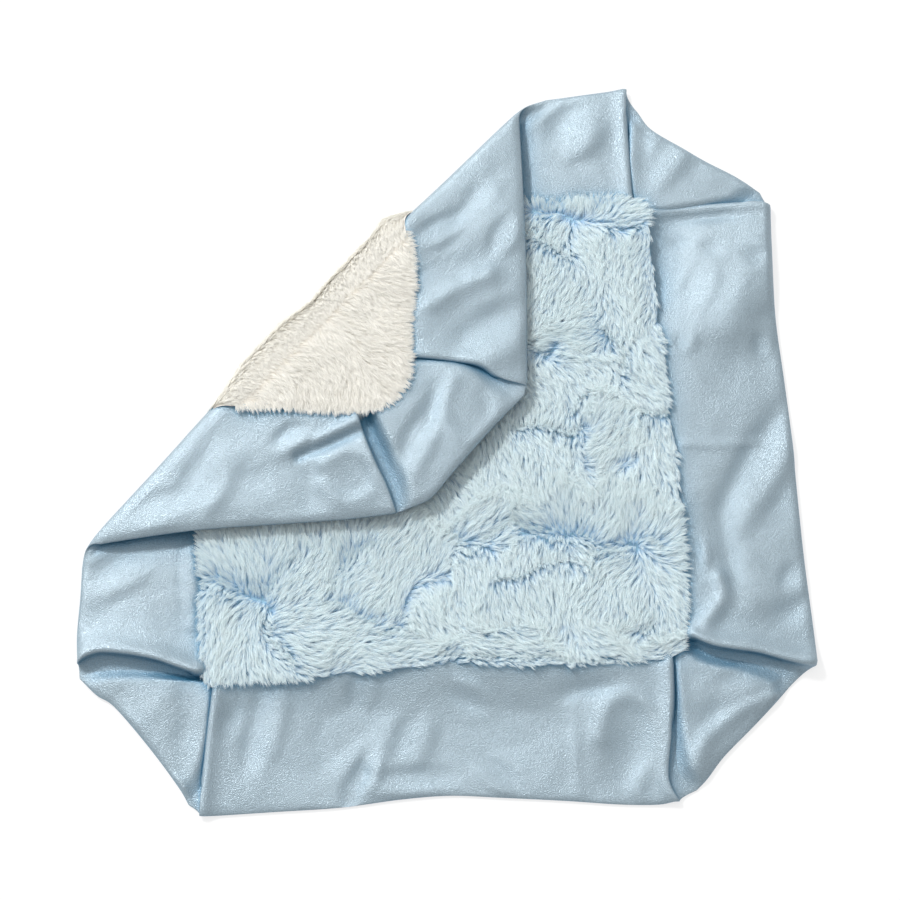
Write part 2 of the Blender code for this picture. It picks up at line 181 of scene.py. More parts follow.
def on_plan(pixels, height):
    """Where places in the photograph, as pixels from its top left, lie on the plan at this height."""
    cos_turn, sin_turn = math.cos(VIEW_TURN), math.sin(VIEW_TURN)
    cos_rise, sin_rise = math.cos(VIEW_ELEVATION), math.sin(VIEW_ELEVATION)
    right = np.array([cos_turn, sin_turn, 0])
    up = np.array([-sin_turn * sin_rise, cos_turn * sin_rise, cos_rise])
    back = np.array([sin_turn * cos_rise, -cos_turn * cos_rise, sin_rise])
    eye = (np.array(VIEW_TARGET) + back * VIEW_DISTANCE) / MM
    shift = (np.array(pixels, float) - PHOTO_WIDTH / 2) * PIXEL
    ray = shift[:, :1] * right - shift[:, 1:] * up - back
    return (eye + ray * ((height - eye[2]) / ray[:, 2:]))[:, :2]


def line_length(points):
    return np.linalg.norm(np.diff(np.array(points, float), axis=0), axis=1).sum()


def four_sided(inner, outer, start, end):
    """The plan of a sheet between four curves. Inner and outer have a point a column, start and end a row."""
    s = np.linspace(0, 1, len(inner))[:, None, None]
    t = row_shares[None, :, None]
    across = inner[:, None] * (1 - t) + outer[:, None] * t
    along = start[None] * (1 - s) + end[None] * s
    corners = (1 - s) * ((1 - t) * inner[0] + t * outer[0]) + s * ((1 - t) * inner[-1] + t * outer[-1])
    return across + along - corners


def fold_distance(points):
    """How far a point of the plan lies from the cut at the fold."""
    return (points[..., 0] - points[..., 1] + CUT_OFFSET) / math.sqrt(2)


def bezier(a, b, c, d, u):
    return (1 - u) ** 3 * a + 3 * u * (1 - u) ** 2 * b + 3 * u**2 * (1 - u) * c + u**3 * d


def round_fold(low, high, out, u, slope):
    """A cloth's way round the fold, which bulges by out and stays flat on top till near its edge."""
    drift = (high - low) * np.array([1, 1, 0]) / 3
    drop = np.linalg.norm(out, axis=-1, keepdims=True) * HIGH_BULGE * slope * np.array([0, 0, 1])
    return bezier(low, low - out * LOW_BULGE + drift, high - out * HIGH_BULGE - drift - drop, high, u)


def waves(points, length, seed, count=14):
    """A smooth random height from -1 to 1, with features about as long as length."""
    random = np.random.default_rng(seed)
    total = np.zeros(points.shape[:-1])
    for _ in range(count):
        heading = random.uniform(0, 2 * math.pi)
        size = length * random.uniform(0.7, 1.6)
        phase = random.uniform(0, 2 * math.pi)
        along = points[..., 0] * math.cos(heading) + points[..., 1] * math.sin(heading)
        total += np.sin(2 * math.pi * along / size + phase)
    return total / math.sqrt(2 * count)


def crumple(points, length, seed):
    """Soft creases with flatter facets between them, about from -1 to 1."""
    folds = np.sqrt(waves(points, length, seed) ** 2 + 0.004)
    cross = np.sqrt(waves(points, length * 1.3, seed + 1) ** 2 + 0.01)
    return 1.6 * (folds - cross)


def oval(points, x, y, length, width, turn):
    """How far points lie across an oval, in its widths, and their squared distance from its middle."""
    heading = math.radians(turn)
    dx = points[..., 0] - x
    dy = points[..., 1] - y
    along = (dx * math.cos(heading) + dy * math.sin(heading)) / length
    across = (dy * math.cos(heading) - dx * math.sin(heading)) / width
    return across, along**2 + across**2


def relief(points, leans=(), hills=(), ridges=()):
    """The height that the listed folds add: leans towards one side, hills, and ridges along a line."""
    total = np.zeros(points.shape[:-1])
    for *place, height in leans:
        across, spread = oval(points, *place)
        total += height * across * np.exp(-((spread / LEAN_REACH) ** 2))
    for *place, height in hills:
        _, spread = oval(points, *place)
        total += height * np.exp(-spread)
    for line, width, height in ridges:
        distance = np.full(total.shape, np.inf)
        for place in smooth_line(line, np.linspace(0, 1, RIDGE_STEPS)):
            distance = np.minimum(distance, np.linalg.norm(points - place, axis=-1))
        total += height * np.exp(-((distance / width) ** 2))
    return total * RELIEF_GAIN


def inside(points, outline):
    """Which points lie in the closed outline."""
    x, y = points[..., 0], points[..., 1]
    found = np.zeros(x.shape, bool)
    for (ax, ay), (bx, by) in zip(outline, np.roll(outline, -1, axis=0)):
        if ay != by:
            crosses = (ay > y) != (by > y)
            found ^= crosses & (x < (bx - ax) * (y - ay) / (by - ay) + ax)
    return found


def nearest_on(points, outline):
    """The nearest point of the closed outline to each point, and the distance."""
    best = np.full(points.shape[:-1], np.inf)
    nearest = np.zeros(points.shape)
    for a, b in zip(outline, np.roll(outline, -1, axis=0)):
        side = b - a
        share = np.clip(((points - a) @ side) / max(side @ side, 1e-9), 0, 1)
        foot = a + share[..., None] * side
        distance = np.linalg.norm(points - foot, axis=-1)
        closer = distance < best
        best = np.where(closer, distance, best)
        nearest[closer] = foot[closer]
    return nearest, best


def make_mesh(name, points, faces, uv, material):
    """An object from points in millimetres, arrays of faces with as many corners each, and a UV a point."""
    mesh = bpy.data.meshes.new(name)
    mesh.vertices.add(len(points))
    mesh.vertices.foreach_set("co", (points * MM).astype(np.float32).ravel())
    corners = np.concatenate([f.ravel() for f in faces]).astype(np.int32)
    sizes = np.concatenate([np.full(len(f), f.shape[1]) for f in faces])
    mesh.loops.add(len(corners))
    mesh.polygons.add(len(sizes))
    starts = np.concatenate([[0], np.cumsum(sizes)[:-1]]).astype(np.int32)
    mesh.polygons.foreach_set("loop_start", starts)
    mesh.polygons.foreach_set("vertices", corners)
    layer = mesh.uv_layers.new(name="OFBake")
    layer.data.foreach_set("uv", uv[corners].astype(np.float32).ravel())
    mesh.update(calc_edges=True)
    mesh.shade_smooth()
    mesh.materials.append(material)
    made = bpy.data.objects.new(name, mesh)
    bpy.context.scene.collection.objects.link(made)
    return made


def grid_faces(columns, rows):
    index = np.arange(columns * rows).reshape(columns, rows)
    return np.stack([index[:-1, :-1], index[:-1, 1:], index[1:, 1:], index[1:, :-1]], -1).reshape(-1, 4)


# Materials

def linear(text):
    """A Blender colour from an sRGB hex one."""
    values = [int(text[i:i + 2], 16) / 255 for i in (0, 2, 4)]
    values = [v / 12.92 if v <= 0.04045 else ((v + 0.055) / 1.055) ** 2.4 for v in values]
    return (*values, 1.0)


def grey(value):
    return (value, value, value, 1.0)


class Nodes:
    """Short calls to add nodes to a tree."""

    def __init__(self, tree):
        self.tree = tree

    def node(self, kind, inputs=None, **settings):
        made = self.tree.nodes.new("ShaderNode" + kind)
        for key, value in settings.items():
            setattr(made, key, value)
        for key, value in (inputs or {}).items():
            self.feed(made.inputs[key], value)
        return made

    def feed(self, socket, value):
        if isinstance(value, bpy.types.NodeSocket):
            self.tree.links.new(value, socket)
        else:
            socket.default_value = value


class Shader(Nodes):
    """A material with a Principled shader, and short calls for what the cloths share."""

    def __init__(self, name, **constants):
        self.material = bpy.data.materials.new(name)
        self.material.use_nodes = True
        super().__init__(self.material.node_tree)
        self.shader = self.tree.nodes["Principled BSDF"]
        for key, value in constants.items():
            self.shader.inputs[key.replace("_", " ")].default_value = value

    def place(self):
        return self.node("TexCoord").outputs["Object"]

    def noise(self, scale, detail, vector, roughness=0.5):
        values = {"Scale": scale, "Detail": detail, "Roughness": roughness, "Vector": vector}
        return self.node("TexNoise", values).outputs["Fac"]

    def ramp(self, value, *stops):
        made = self.node("ValToRGB", {"Fac": value})
        elements = made.color_ramp.elements
        while len(elements) < len(stops):
            elements.new(0.5)
        for element, (place, colour) in zip(elements, stops):
            element.position = place
            element.color = colour
        return made.outputs["Color"]

    def shade(self, value, dark_place, dark, light_place, light):
        """A grey from dark to light, for colours to be multiplied with."""
        return self.ramp(value, (dark_place, grey(dark)), (light_place, grey(light)))

    def multiply(self, a, b):
        made = self.node("Mix", data_type="RGBA", blend_type="MULTIPLY")
        for socket, value in ((0, 1.0), (6, a), (7, b)):
            self.feed(made.inputs[socket], value)
        return made.outputs[2]

    def bump(self, height, distance, strength, normal=None):
        values = {"Height": height, "Distance": distance, "Strength": strength}
        if normal is not None:
            values["Normal"] = normal
        return self.node("Bump", values).outputs["Normal"]

    def set(self, **values):
        for key, value in values.items():
            self.feed(self.shader.inputs[key.replace("_", " ")], value)
        return self.material

    def mix_surface(self, share, other):
        """Mixes the Principled shader with another one, and shows the mix."""
        mixed = self.node("MixShader", {0: share, 1: self.shader.outputs["BSDF"], 2: other})
        self.tree.links.new(mixed.outputs["Shader"], self.tree.nodes["Material Output"].inputs["Surface"])
        return self.material


def satin_material():
    """Polyester satin: a broad frosted highlight with a fine grain, and painted shade, a deeper darker blue,
    in its folds and wherever other cloth or the floor is near.
    """
    s = Shader("blue_satin", Metallic=0.36, Anisotropic=0.2, IOR=1.6, Specular_IOR_Level=1.0)
    place = s.place()
    grain = s.noise(SATIN_GRAIN, 1.0, place, 0.6)
    pucker = s.noise(SATIN_PUCKERS, 2.0, place, 0.5)
    # Painted shade: the colour runs to a deeper blue where ambient occlusion finds cloth or floor near
    open_sky = s.node("AmbientOcclusion", {"Distance": PAINTED_SHADE_REACH}, samples=4).outputs["AO"]
    base = s.ramp(open_sky, (0.55, linear(SATIN_PAINTED_SHADE_COLOUR)), (0.92, linear(SATIN_COLOUR)))
    colour = s.multiply(base, s.shade(s.noise(SATIN_CLOUDS, 2.0, place), 0.3, 0.96, 0.7, 1.04))
    colour = s.multiply(colour, s.shade(grain, 0.3, 0.82, 0.7, 1.16))
    rough = s.node("MapRange", {"Value": grain, "To Min": 0.27, "To Max": 0.47}).outputs["Result"]
    normal = s.bump(pucker, SATIN_PUCKER_DEPTH, 0.3)
    normal = s.bump(grain, SATIN_GRAIN_DEPTH, 1.0, normal)
    tangent = s.node("Tangent", direction_type="UV_MAP", uv_map="OFBake").outputs["Tangent"]
    return s.set(Base_Color=colour, Roughness=rough, Normal=normal, Tangent=tangent)


def pile_material(name, root, tip):
    """Plush pile: each strand runs from a deeper root to a pale tip, and locks differ a little."""
    s = Shader(name, Roughness=0.75, Sheen_Weight=0.25, Sheen_Roughness=0.5, Specular_IOR_Level=0.3)
    uv = s.node("UVMap", uv_map="OFBake").outputs["UV"]
    axes = s.node("SeparateXYZ", {"Vector": uv}).outputs
    along = s.ramp(axes["Y"], (0.0, linear(root)), (0.6, linear(tip)))
    lock = s.node("TexWhiteNoise", {"W": axes["X"]}, noise_dimensions="1D").outputs["Value"]
    colour = s.multiply(along, s.shade(lock, 0.0, 0.93, 1.0, 1.04))
    s.set(Base_Color=colour)
    return s.mix_surface(0.5, s.node("BsdfTranslucent", {"Color": colour}).outputs["BSDF"])


def knit_material(name, colour):
    """The knitted backing that the pile stands on."""
    s = Shader(name, Roughness=0.9)
    loops = s.node("TexVoronoi", {"Scale": KNIT_LOOPS, "Vector": s.place()}).outputs["Distance"]
    shade = s.shade(loops, 0.0, 0.8, 0.6, 1.05)
    return s.set(Base_Color=s.multiply(linear(colour), shade), Normal=s.bump(loops, KNIT_DEPTH, 0.6))


def thread_material():
    s = Shader("seam_thread", Roughness=0.55)
    twist = s.noise(THREAD_TWIST, 1.0, s.place())
    shade = s.shade(twist, 0.3, 0.85, 0.7, 1.05)
    normal = s.bump(twist, THREAD_TWIST_DEPTH, 0.5)
    return s.set(Base_Color=s.multiply(linear(THREAD_COLOUR), shade), Normal=normal)


def floor_material():
    """A pale floor that shows as white to the camera and keeps the blanket's shadow."""
    s = Shader("floor", Roughness=0.8)
    shade = s.shade(s.noise(3, 2.0, s.place()), 0.3, 0.995, 0.7, 1.0)
    s.set(Base_Color=s.multiply(linear(FLOOR_COLOUR), shade))
    ray = s.node("LightPath").outputs
    seen = s.node("Math", {0: ray["Is Camera Ray"], 1: ray["Is Glossy Ray"]}, operation="MAXIMUM").outputs[0]
    seen = s.node("Math", {0: seen, 1: ray["Is Transmission Ray"]}, operation="MAXIMUM").outputs[0]
    share = s.node("Math", {0: seen, 1: FLOOR_GLOW_SHARE}, operation="MULTIPLY").outputs[0]
    glow = s.node("Emission", {"Color": grey(1.0), "Strength": FLOOR_GLOW}).outputs["Emission"]
    return s.mix_surface(share, glow)


SATIN = satin_material()
BLUE_PILE = pile_material("blue_pile", BLUE_ROOT_COLOUR, BLUE_TIP_COLOUR)
CREAM_PILE = pile_material("cream_pile", CREAM_ROOT_COLOUR, CREAM_TIP_COLOUR)
BLUE_KNIT = knit_material("blue_knit", BLUE_KNIT_COLOUR)
CREAM_KNIT = knit_material("cream_knit", CREAM_ROOT_COLOUR)
THREAD = thread_material()


# Satin border: how a strip is laid

class Pleat:
    """Where a strip of the border is tucked. The crease is its rolled edge, from seam to hem, and the
    depths say how far the tuck lies behind it, or past it where the pleat stands open. The tip is how far
    the tuck stops short of the crease's end, so that the roll's open end is rounded."""

    def __init__(self, crease, depths, towards, reach=3.0, crest=0.0, crest_width=CREST_WIDTH, tip=0.0,
                 tuck_top=1.4, tuck_low=0.6):
        self.crease = smooth_line(crease, row_shares)
        chord = unit(self.crease[-1] - self.crease[0])
        away = np.array([-chord[1], chord[0]])
        self.away = away if away @ np.array(towards, float) > 0 else -away
        self.depth = np.interp(row_shares, np.linspace(0, 1, len(depths)), depths)
        self.reach = reach
        self.crest = crest
        self.crest_width = crest_width
        self.edge = self.crease - self.away * reach
        ending = smooth_step((row_shares - TIP_START_SHARE) / (1 - TIP_START_SHARE))[:, None]
        self.tuck = self.crease - self.away * self.depth[:, None] - chord * tip * ending
        self.tuck_top = tuck_top
        self.tuck_low = tuck_low

    def roll(self, top, low, middle):
        """Columns that carry a band's last one, with these heights, over the roll and down to the tuck."""
        closed = smooth_step((self.depth + CLOSING_DEPTH) / (2 * CLOSING_DEPTH))[:, None]
        pull = np.maximum(self.reach + self.depth, 1)[:, None] / 1.5
        first = closed * (self.edge + self.away * pull) + (1 - closed) * (self.crease + self.away * OPEN_LIP)
        under = self.crease - self.away * OPEN_UNDERCUT
        last = closed * (self.tuck + self.away * pull) + (1 - closed) * under
        plans, tops, lows, middles = [], [], [], []
        for u in np.linspace(0, 1, ROLL_COLUMNS + 1)[1:]:
            plans.append(bezier(self.edge, first, last, self.tuck, u))
            tops.append(bezier(top, top, self.tuck_top, self.tuck_top, u))
            share = smooth_step(u)
            lows.append(low + (self.tuck_low - low) * share)
            middles.append(middle + ((self.tuck_top + self.tuck_low) / 2 - middle) * share)
        return np.array(plans), np.array(tops), np.array(lows), np.array(middles)

    def shape(self, plan, border, top, low, middle):
        """The heights of the strip that rolls over the pleat, with its swell along the crease."""
        gap = np.abs((plan - self.crease[None]) @ self.away)
        fade = smooth_step(row_shares[None, :] / SEAM_FADE_SHARE + SEAM_CREST)
        rise = self.crest * np.exp(-((gap / self.crest_width) ** 2)) * fade
        return top + rise, low + LIFTED_SHARE * rise, middle + LIFTED_SHARE * rise


class Tuck:
    """The end of a strip that comes out from under a pleat."""

    def __init__(self, pleat):
        self.edge = pleat.tuck
        self.top = pleat.tuck_top
        self.low = pleat.tuck_low

    def shape(self, plan, border, top, low, middle):
        """The heights of the strip, from those in the tuck to its own."""
        gap = np.linalg.norm(plan - plan[border][None], axis=-1)
        rise = smooth_step(gap / TUCK_RISE)
        top = self.top + (top - self.top) * rise
        low = self.low + (low - self.low) * rise
        return top, low, (self.top + self.low) / 2 * (1 - rise) + middle * rise


def pin_ends(line, first, last):
    """The line moved so that it runs from first to last, with its ends' shift fading along it."""
    share = np.linspace(0, 1, len(line))[:, None]
    return line + (first - line[0]) * (1 - share) ** 3 + (last - line[-1]) * share**3


def satin_plan(seam, hem, start, end):
    """The plan of a strip between its seam, its hem and its two ends, a column a step along it."""
    count = max(int(max(line_length(seam), line_length(hem)) / COLUMN_STEP), FEWEST_COLUMNS)
    inner, outer = (smooth_line(line, np.linspace(0, 1, count)) for line in (seam, hem))
    cut = row_shares[:, None]
    first = inner[0] + (outer[0] - inner[0]) * cut if start is None else start.edge
    last = inner[-1] + (outer[-1] - inner[-1]) * cut if end is None else end.edge
    inner = pin_ends(inner, first[0], last[0])
    outer = pin_ends(outer, first[-1], last[-1])
    return four_sided(inner, outer, first, last)


def satin_heights(plan, heights, features, seed, turned):
    """The heights of a strip's front and back and of its hem's middle, before its pleats."""
    t = row_shares[None, :]
    shares = np.linspace(0, 1, len(plan))
    spread = [np.atleast_1d(height) for height in heights]
    spread = [np.interp(shares, np.linspace(0, 1, len(row)), row)[:, None] for row in spread]
    seam_top, hem_top, puff, seam_low, hem_low, middle = spread
    top = seam_top * (1 - t) + hem_top * t + puff * np.sin(math.pi * t) ** PUFF_POWER
    low = seam_low * (1 - t) + hem_low * t
    fade = smooth_step(t / SEAM_FADE_SHARE + SEAM_RELIEF)
    creases = LONG_CREASE_HEIGHT * crumple(plan, LONG_CREASE, seed)
    creases = creases + SHORT_CREASE_HEIGHT * crumple(plan, SHORT_CREASE, seed + 3)
    creases = creases + PUCKER_HEIGHT * waves(plan, PUCKER, seed + 5)
    top = top + fade * (relief(plan, **features) + CREASE_GAIN * creases)
    middle = middle * np.ones_like(top)
    if turned:
        sag = FOLD_SLOPE * FOLD_SLOPE_LENGTH * np.exp(-np.maximum(fold_distance(plan), 0) / FOLD_SLOPE_LENGTH)
        sag = sag * smooth_step(t / FOLD_SLOPE_START)
        top, low, middle = top - sag, low - sag, middle - sag
    return top, low, middle


def lay_satin(seam, hem, start, end, heights, features, seed, turned):
    """The points of one satin piece, as columns from the front's seam, round the hem, to the back's seam.
    Its start and end are a Pleat that it rolls over, a Tuck that it comes out of, or None at the fold."""
    plan = satin_plan(seam, hem, start, end)
    top, low, middle = satin_heights(plan, heights, features, seed, turned)
    for side, border in ((start, 0), (end, -1)):
        if side is not None:
            top, low, middle = side.shape(plan, border, top, low, middle)
    top = np.maximum(top, low + THINNEST)
    parts = [(plan, top, low, middle)]
    if isinstance(start, Pleat):
        rolled = start.roll(top[0], low[0], middle[0])
        parts.insert(0, tuple(x[::-1] for x in rolled))
    if isinstance(end, Pleat):
        parts.append(end.roll(top[-1], low[-1], middle[-1]))
    plan, top, low, middle = (np.concatenate([p[i] for p in parts]) for i in range(4))
    top = middle + (top - middle) * hem_closing
    low = middle - (middle - low) * hem_closing
    front, back = (np.concatenate([plan, height[..., None]], -1) for height in (top, low))
    if turned:
        front, back = back, front
    return np.concatenate([front, back[:, -2::-1]], 1)


def satin_object(name, columns):
    count, rows = columns.shape[:2]
    across, along = np.meshgrid(np.linspace(0, 1, rows), np.linspace(0, 1, count))
    uv = np.stack([along, across], -1).reshape(-1, 2)
    return make_mesh(name, columns.reshape(-1, 3), [grid_faces(count, rows)], uv, SATIN)


# Satin border: its pleats, then the two of the turned corner, in millimetres on the floor plan
left_end = Pleat(
    [
        (-120, -127), (-127.4, -128.4), (-137.4, -124.6), (-149.6, -120.0), (-163.4, -116.8),
        (-177.7, -115.0), (-185.6, -116.8), (-191.0, -120.0),
    ],
    (4, -1, -4, -6.5, -8.5, -6.8), (0, -1), crest=6.2, crest_width=10, tip=1.5)
bottom_start = Pleat(
    [(-119, -128), (-119.5, -136.1), (-122.3, -155.6), (-124.6, -173.4), (-126.8, -190), (-127.6, -201.8)],
    (6, 5, 4, 1.5, -5.8), (-1, 0), crest=3.0, tip=5.4)
bottom_end = Pleat(
    [
        (125, -125), (125.2, -131.2), (124.7, -150.3), (122.5, -168.7), (119.8, -187.0), (120.5, -195),
        (124.5, -203.5),
    ],
    (5, 3.5, 1.5, -2, -5, -9), (1, 0), crest=3.4, tip=5.8)
right_start = Pleat(
    [
        (129, -118), (134.7, -118.5), (145.8, -123.2), (156.6, -125.6), (170.2, -127.9), (183.7, -132.1),
        (194.5, -134.8), (200.8, -135.2),
    ],
    (3, -2.5, -3.5, -4.5, -7, -13.2), (0, -1), crest=6.0, crest_width=9, tip=12)
right_end = Pleat(
    [(125, 126), (130.6, 126.5), (150.9, 127.8), (172.8, 128.8), (186.3, 128.9), (195.5, 127.0)],
    (5, 5, 4, 1, -8), (0, 1), crest=1.8, tip=5)
top_start = Pleat(
    [(118.4, 127), (118.4, 134.1), (118.3, 155), (118.3, 175.7), (118.7, 192.7), (119.5, 199.8)],
    (6, 5, 4, 1, -5.5), (1, 0), crest=2.0, tip=14)
FLAP_TUCK_TOP = 15.6
FLAP_TUCK_LOW = 14.2
FLAP_GROOVE_TOP = 13.6
FLAP_GROOVE_LOW = 12.7
flap_top_end = Pleat(
    [(-13, 39), (-7.4, 39.6), (12.7, 37.1), (28.3, 33.2), (38.8, 26.0), (53.5, 22.0)],
    (5, 5, 4, 0.5, -5), (0, -1), crest=0.8, tuck_top=FLAP_TUCK_TOP, tuck_low=FLAP_TUCK_LOW)
flap_left_start = Pleat(
    [(-38, 16), (-37.5, 9.6), (-34.1, -2.9), (-29.1, -17.0), (-23.0, -31.1), (-18.5, -45.5)],
    (0, -3, -4, -3.5, -1.5), (1, 0), crest=1.2, tuck_top=FLAP_GROOVE_TOP, tuck_low=FLAP_GROOVE_LOW)

# Heights of the satin: seam top, hem top, puff, seam underside, hem underside and the hem's middle
LYING = (4.3, 3.9, 0.7, 0.3, 0.3, 1.9)
BOTTOM = (5.8, 2.4, -1.2, 0.3, 0.3, 1.3)
GUSSET = (3.9, 3.2, 1.0, 0.6, 0.4, 1.7)
TURNED_TOP = (18.9, (12.5, 14.5, 15.5, 16.0), 1.6, 17.2, (9.4, 11.6, 12.2, 12.6), (10.9, 13.0, 13.8, 14.3))
TURNED_LEFT = (18.9, (15.8, 15.2, 14.6, 12.5), 1.6, 17.2, (12.6, 12.2, 11.8, 9.4), (14.2, 13.6, 13.2, 10.9))
TURNED_GUSSET = (18.9, (16.6, 18.0, 16.6), 0.8, 17.2, (13.6, 14.4, 13.6), (15.1, 16.2, 15.1))

# Each satin piece's seam and hem on the floor plan
left_hem = [(-189, -67), (-190, -84), (-192, -104), (-192, -118)]
left_seam = [(-122, 0), (-121.5, -50), (-121, -90), (-121, -126)]
bottom_seam = [
    (-118, -128), (-94, -127), (-64, -127), (-30, -124), (6, -122), (52, -125), (85, -125), (124, -125),
]
bottom_hem = [
    (-127, -202), (-90, -201), (-54, -200), (-22, -197), (4, -196), (30, -198), (64, -201), (92, -204),
    (112, -205), (121, -204),
]
right_seam = [(129, -117), (130, -96), (130, -53), (129, -13), (126, 48), (124, 101), (125, 124)]
right_hem = [
    (201, -132), (201, -117), (199, -76), (198, -31), (198, -15), (196, 24), (194, 61), (195, 100),
    (196, 124),
]
top_seam = [(117, 127), (86, 126), (60, 126), (5, 127)]
top_hem = [(118, 200), (110, 199), (83, 196), (73, 195)]
bottom_left_seam = [(-119, -124), (-117, -126), (-114, -128)]
bottom_left_hem = [
    (-189.5, -126.3), (-180.5, -136), (-171, -143), (-152, -167), (-138, -187.5), (-133.4, -196.4)]
bottom_right_seam = [(121, -125), (125, -121), (128, -117)]
bottom_right_hem = [(133.5, -197.7), (139.6, -192), (150, -180), (169, -164), (188.6, -148.6)]
top_right_seam = [(125, 122), (121, 125), (114, 127)]
top_right_hem = [(190.5, 135), (177, 145), (162, 154), (147, 164), (131.4, 175), (125.1, 185)]
turned_top_seam = [(-14, 108), (-11, 98), (-11, 77), (-14, 53), (-14, 42)]
turned_top_hem = [(57, 179), (57, 112), (55.5, 62), (53.5, 25)]
turned_left_seam = [(-38, 15), (-60, 17), (-75, 18.5), (-103, 19)]
turned_left_hem = [(-21, -45), (-47, -47.5), (-77, -49), (-126, -51), (-169, -55), (-178, -56)]
turned_gusset_seam = [(-14, 43), (-16, 32), (-22, 20), (-36, 16)]
turned_gusset_hem = [(53, 18), (38, 3), (24, -12), (12, -25), (0, -38), (-15, -43)]

# Folds that the photograph shows in each piece. A lean or a hill is a place, its length and
# width, its turn in degrees and its height, and a ridge is a line, its width and its height
FOLDS = {
    "satin_band_left": {
        "leans": [(-167, -71, 20, 9, -152, 1.1), (-186, -60, 8, 5, 0, -0.8), (-132, -74, 26, 5, -90, 0.7)],
        "ridges": [([(-131, -60), (-131, -100)], 4, 0.6)],
    },
    "satin_band_bottom": {
        "leans": [
            (-92, -156, 26, 9, -104, 1.5), (-40, -138, 10, 7, -100, 1.2), (16, -143, 12, 6, -30, 1.1),
            (-15, -189, 22, 7, 0, -1.2), (-14, -166, 14, 9, -110, 1.2), (30, -188, 14, 6, -37, -1.1),
            (-38, -182, 12, 6, -110, 1.2),
        ],
        "hills": [
            (-109, -150, 10, 6, 60, -1.2), (-56, -160, 22, 15, 40, -1.4), (32, -166, 26, 13, 10, -1.3),
            (97, -176, 18, 9, 80, -1.2), (80, -142, 16, 5, 10, -1.0),
        ],
        "ridges": [
            ([(-85, -152), (20, -149), (66, -152)], 17, -1.3),
            ([(-48, -203), (-48, -192), (-42, -182)], 4, -1.5), ([(71, -150), (71, -200)], 3, 0.35),
            ([(84, -168), (88, -154), (100, -147), (112, -156), (112, -178), (102, -196)], 5, 1.0),
        ],
    },
    "satin_band_right": {
        "leans": [
            (162, 95, 44, 34, -122, 7.6), (154, 80, 14, 8, -112, 0.9), (188, 76, 12, 8, -130, 0.8),
            (143, 47, 5, 5, -90, 0.9), (186, 45, 6, 5, -90, 0.9), (180, -24, 40, 12, -123, 2.8),
            (144, -72, 9, 4, -90, 0.9), (193, -88, 9, 7, -120, 1.2),
        ],
        "hills": [
            (149, 108, 28, 20, -122, 3.0), (160, 102, 6, 5, 0, -1.0), (186, 95, 7, 6, 0, -1.1),
            (143, 106, 5, 4, 0, -0.7), (160, 121, 24, 3.5, 0, -1.4), (190, 66, 16, 12, 60, -1.0),
            (158, -70, 26, 7, 92, -1.8), (187, -105, 12, 8, 20, -1.9), (185, -42, 10, 16, 20, -1.0),
        ],
        "ridges": [
            ([(139, -10), (158, -12), (177, -11)], 2.5, 0.6),
            ([(144, -109), (149, -103), (154, -95), (153, -86)], 4.5, 1.8),
        ],
    },
    "satin_band_top": {
        "leans": [(88, 174, 15, 13, -130, 2.2)],
        "hills": [(69, 189, 14, 4, 35, -1.4), (52, 165, 10, 26, 0, -0.8)],
    },
    "satin_corner_bottom_left": {
        "leans": [(-158, -140, 26, 12, -130, 0.8)],
        "hills": [(-134, -160, 30, 7, 88, -1.2)],
        "ridges": [([(-131, -192), (-139, -182)], 2.5, 0.9)],
    },
    "satin_corner_bottom_right": {
        "leans": [(165, -140, 20, 7, 20, -0.8)],
        "hills": [(144, -160, 14, 9, 45, -1.0), (187, -146, 10, 5, 20, -0.7)],
        "ridges": [([(133, -190), (140, -172), (158, -158), (182, -148)], 5, 1.3)],
    },
    "satin_corner_top_right": {
        "leans": [(143, 160, 20, 8, -120, 1.2)],
        "hills": [(127, 160, 22, 6, 85, -1.2), (160, 143, 26, 8, -25, -0.6)],
    },
    "satin_turned_top": {
        "leans": [(10, 113, 14, 7, -150, 1.6), (46, 109, 12, 7, -120, 1.3), (36, 50, 24, 14, -150, 2.4)],
        "hills": [(22, 94, 26, 7, 20, -0.6), (16, 62, 18, 6, 40, -0.6), (28, 130, 22, 6, 50, -0.9)],
        "ridges": [([(3, 69), (22, 80), (36, 86)], 5, 1.1)],
    },
    "satin_turned_left": {
        "leans": [
            (-74, -4, 10, 7, -150, 1.8), (-120, -24, 22, 12, -120, 1.6), (-146, -40, 16, 9, -160, 1.3),
        ],
        "hills": [(-42, -26, 11, 9, 30, -0.9), (-98, -22, 26, 12, 10, -1.2), (-66, -30, 8, 16, 0, -0.9)],
        "ridges": [
            ([(-71, -13), (-55, -8), (-38, -1)], 2.8, -1.7), ([(-60, -5), (-48, 1), (-38, 5)], 3, 1.4),
            ([(-58, -18), (-44, -12), (-31, -20), (-32, -34), (-46, -40), (-58, -30)], 4, 0.6),
        ],
    },
    "satin_corner_top_left": {
        "leans": [(-6, -8, 24, 8, -115, 1.2)],
        "hills": [(38, 14, 10, 8, 30, -0.5), (2, 10, 16, 5, 75, -0.8)],
        "ridges": [([(14, 26), (9, 12), (12, -2), (24, -8), (36, 2), (38, 14)], 4.5, 0.6)],
    },
}

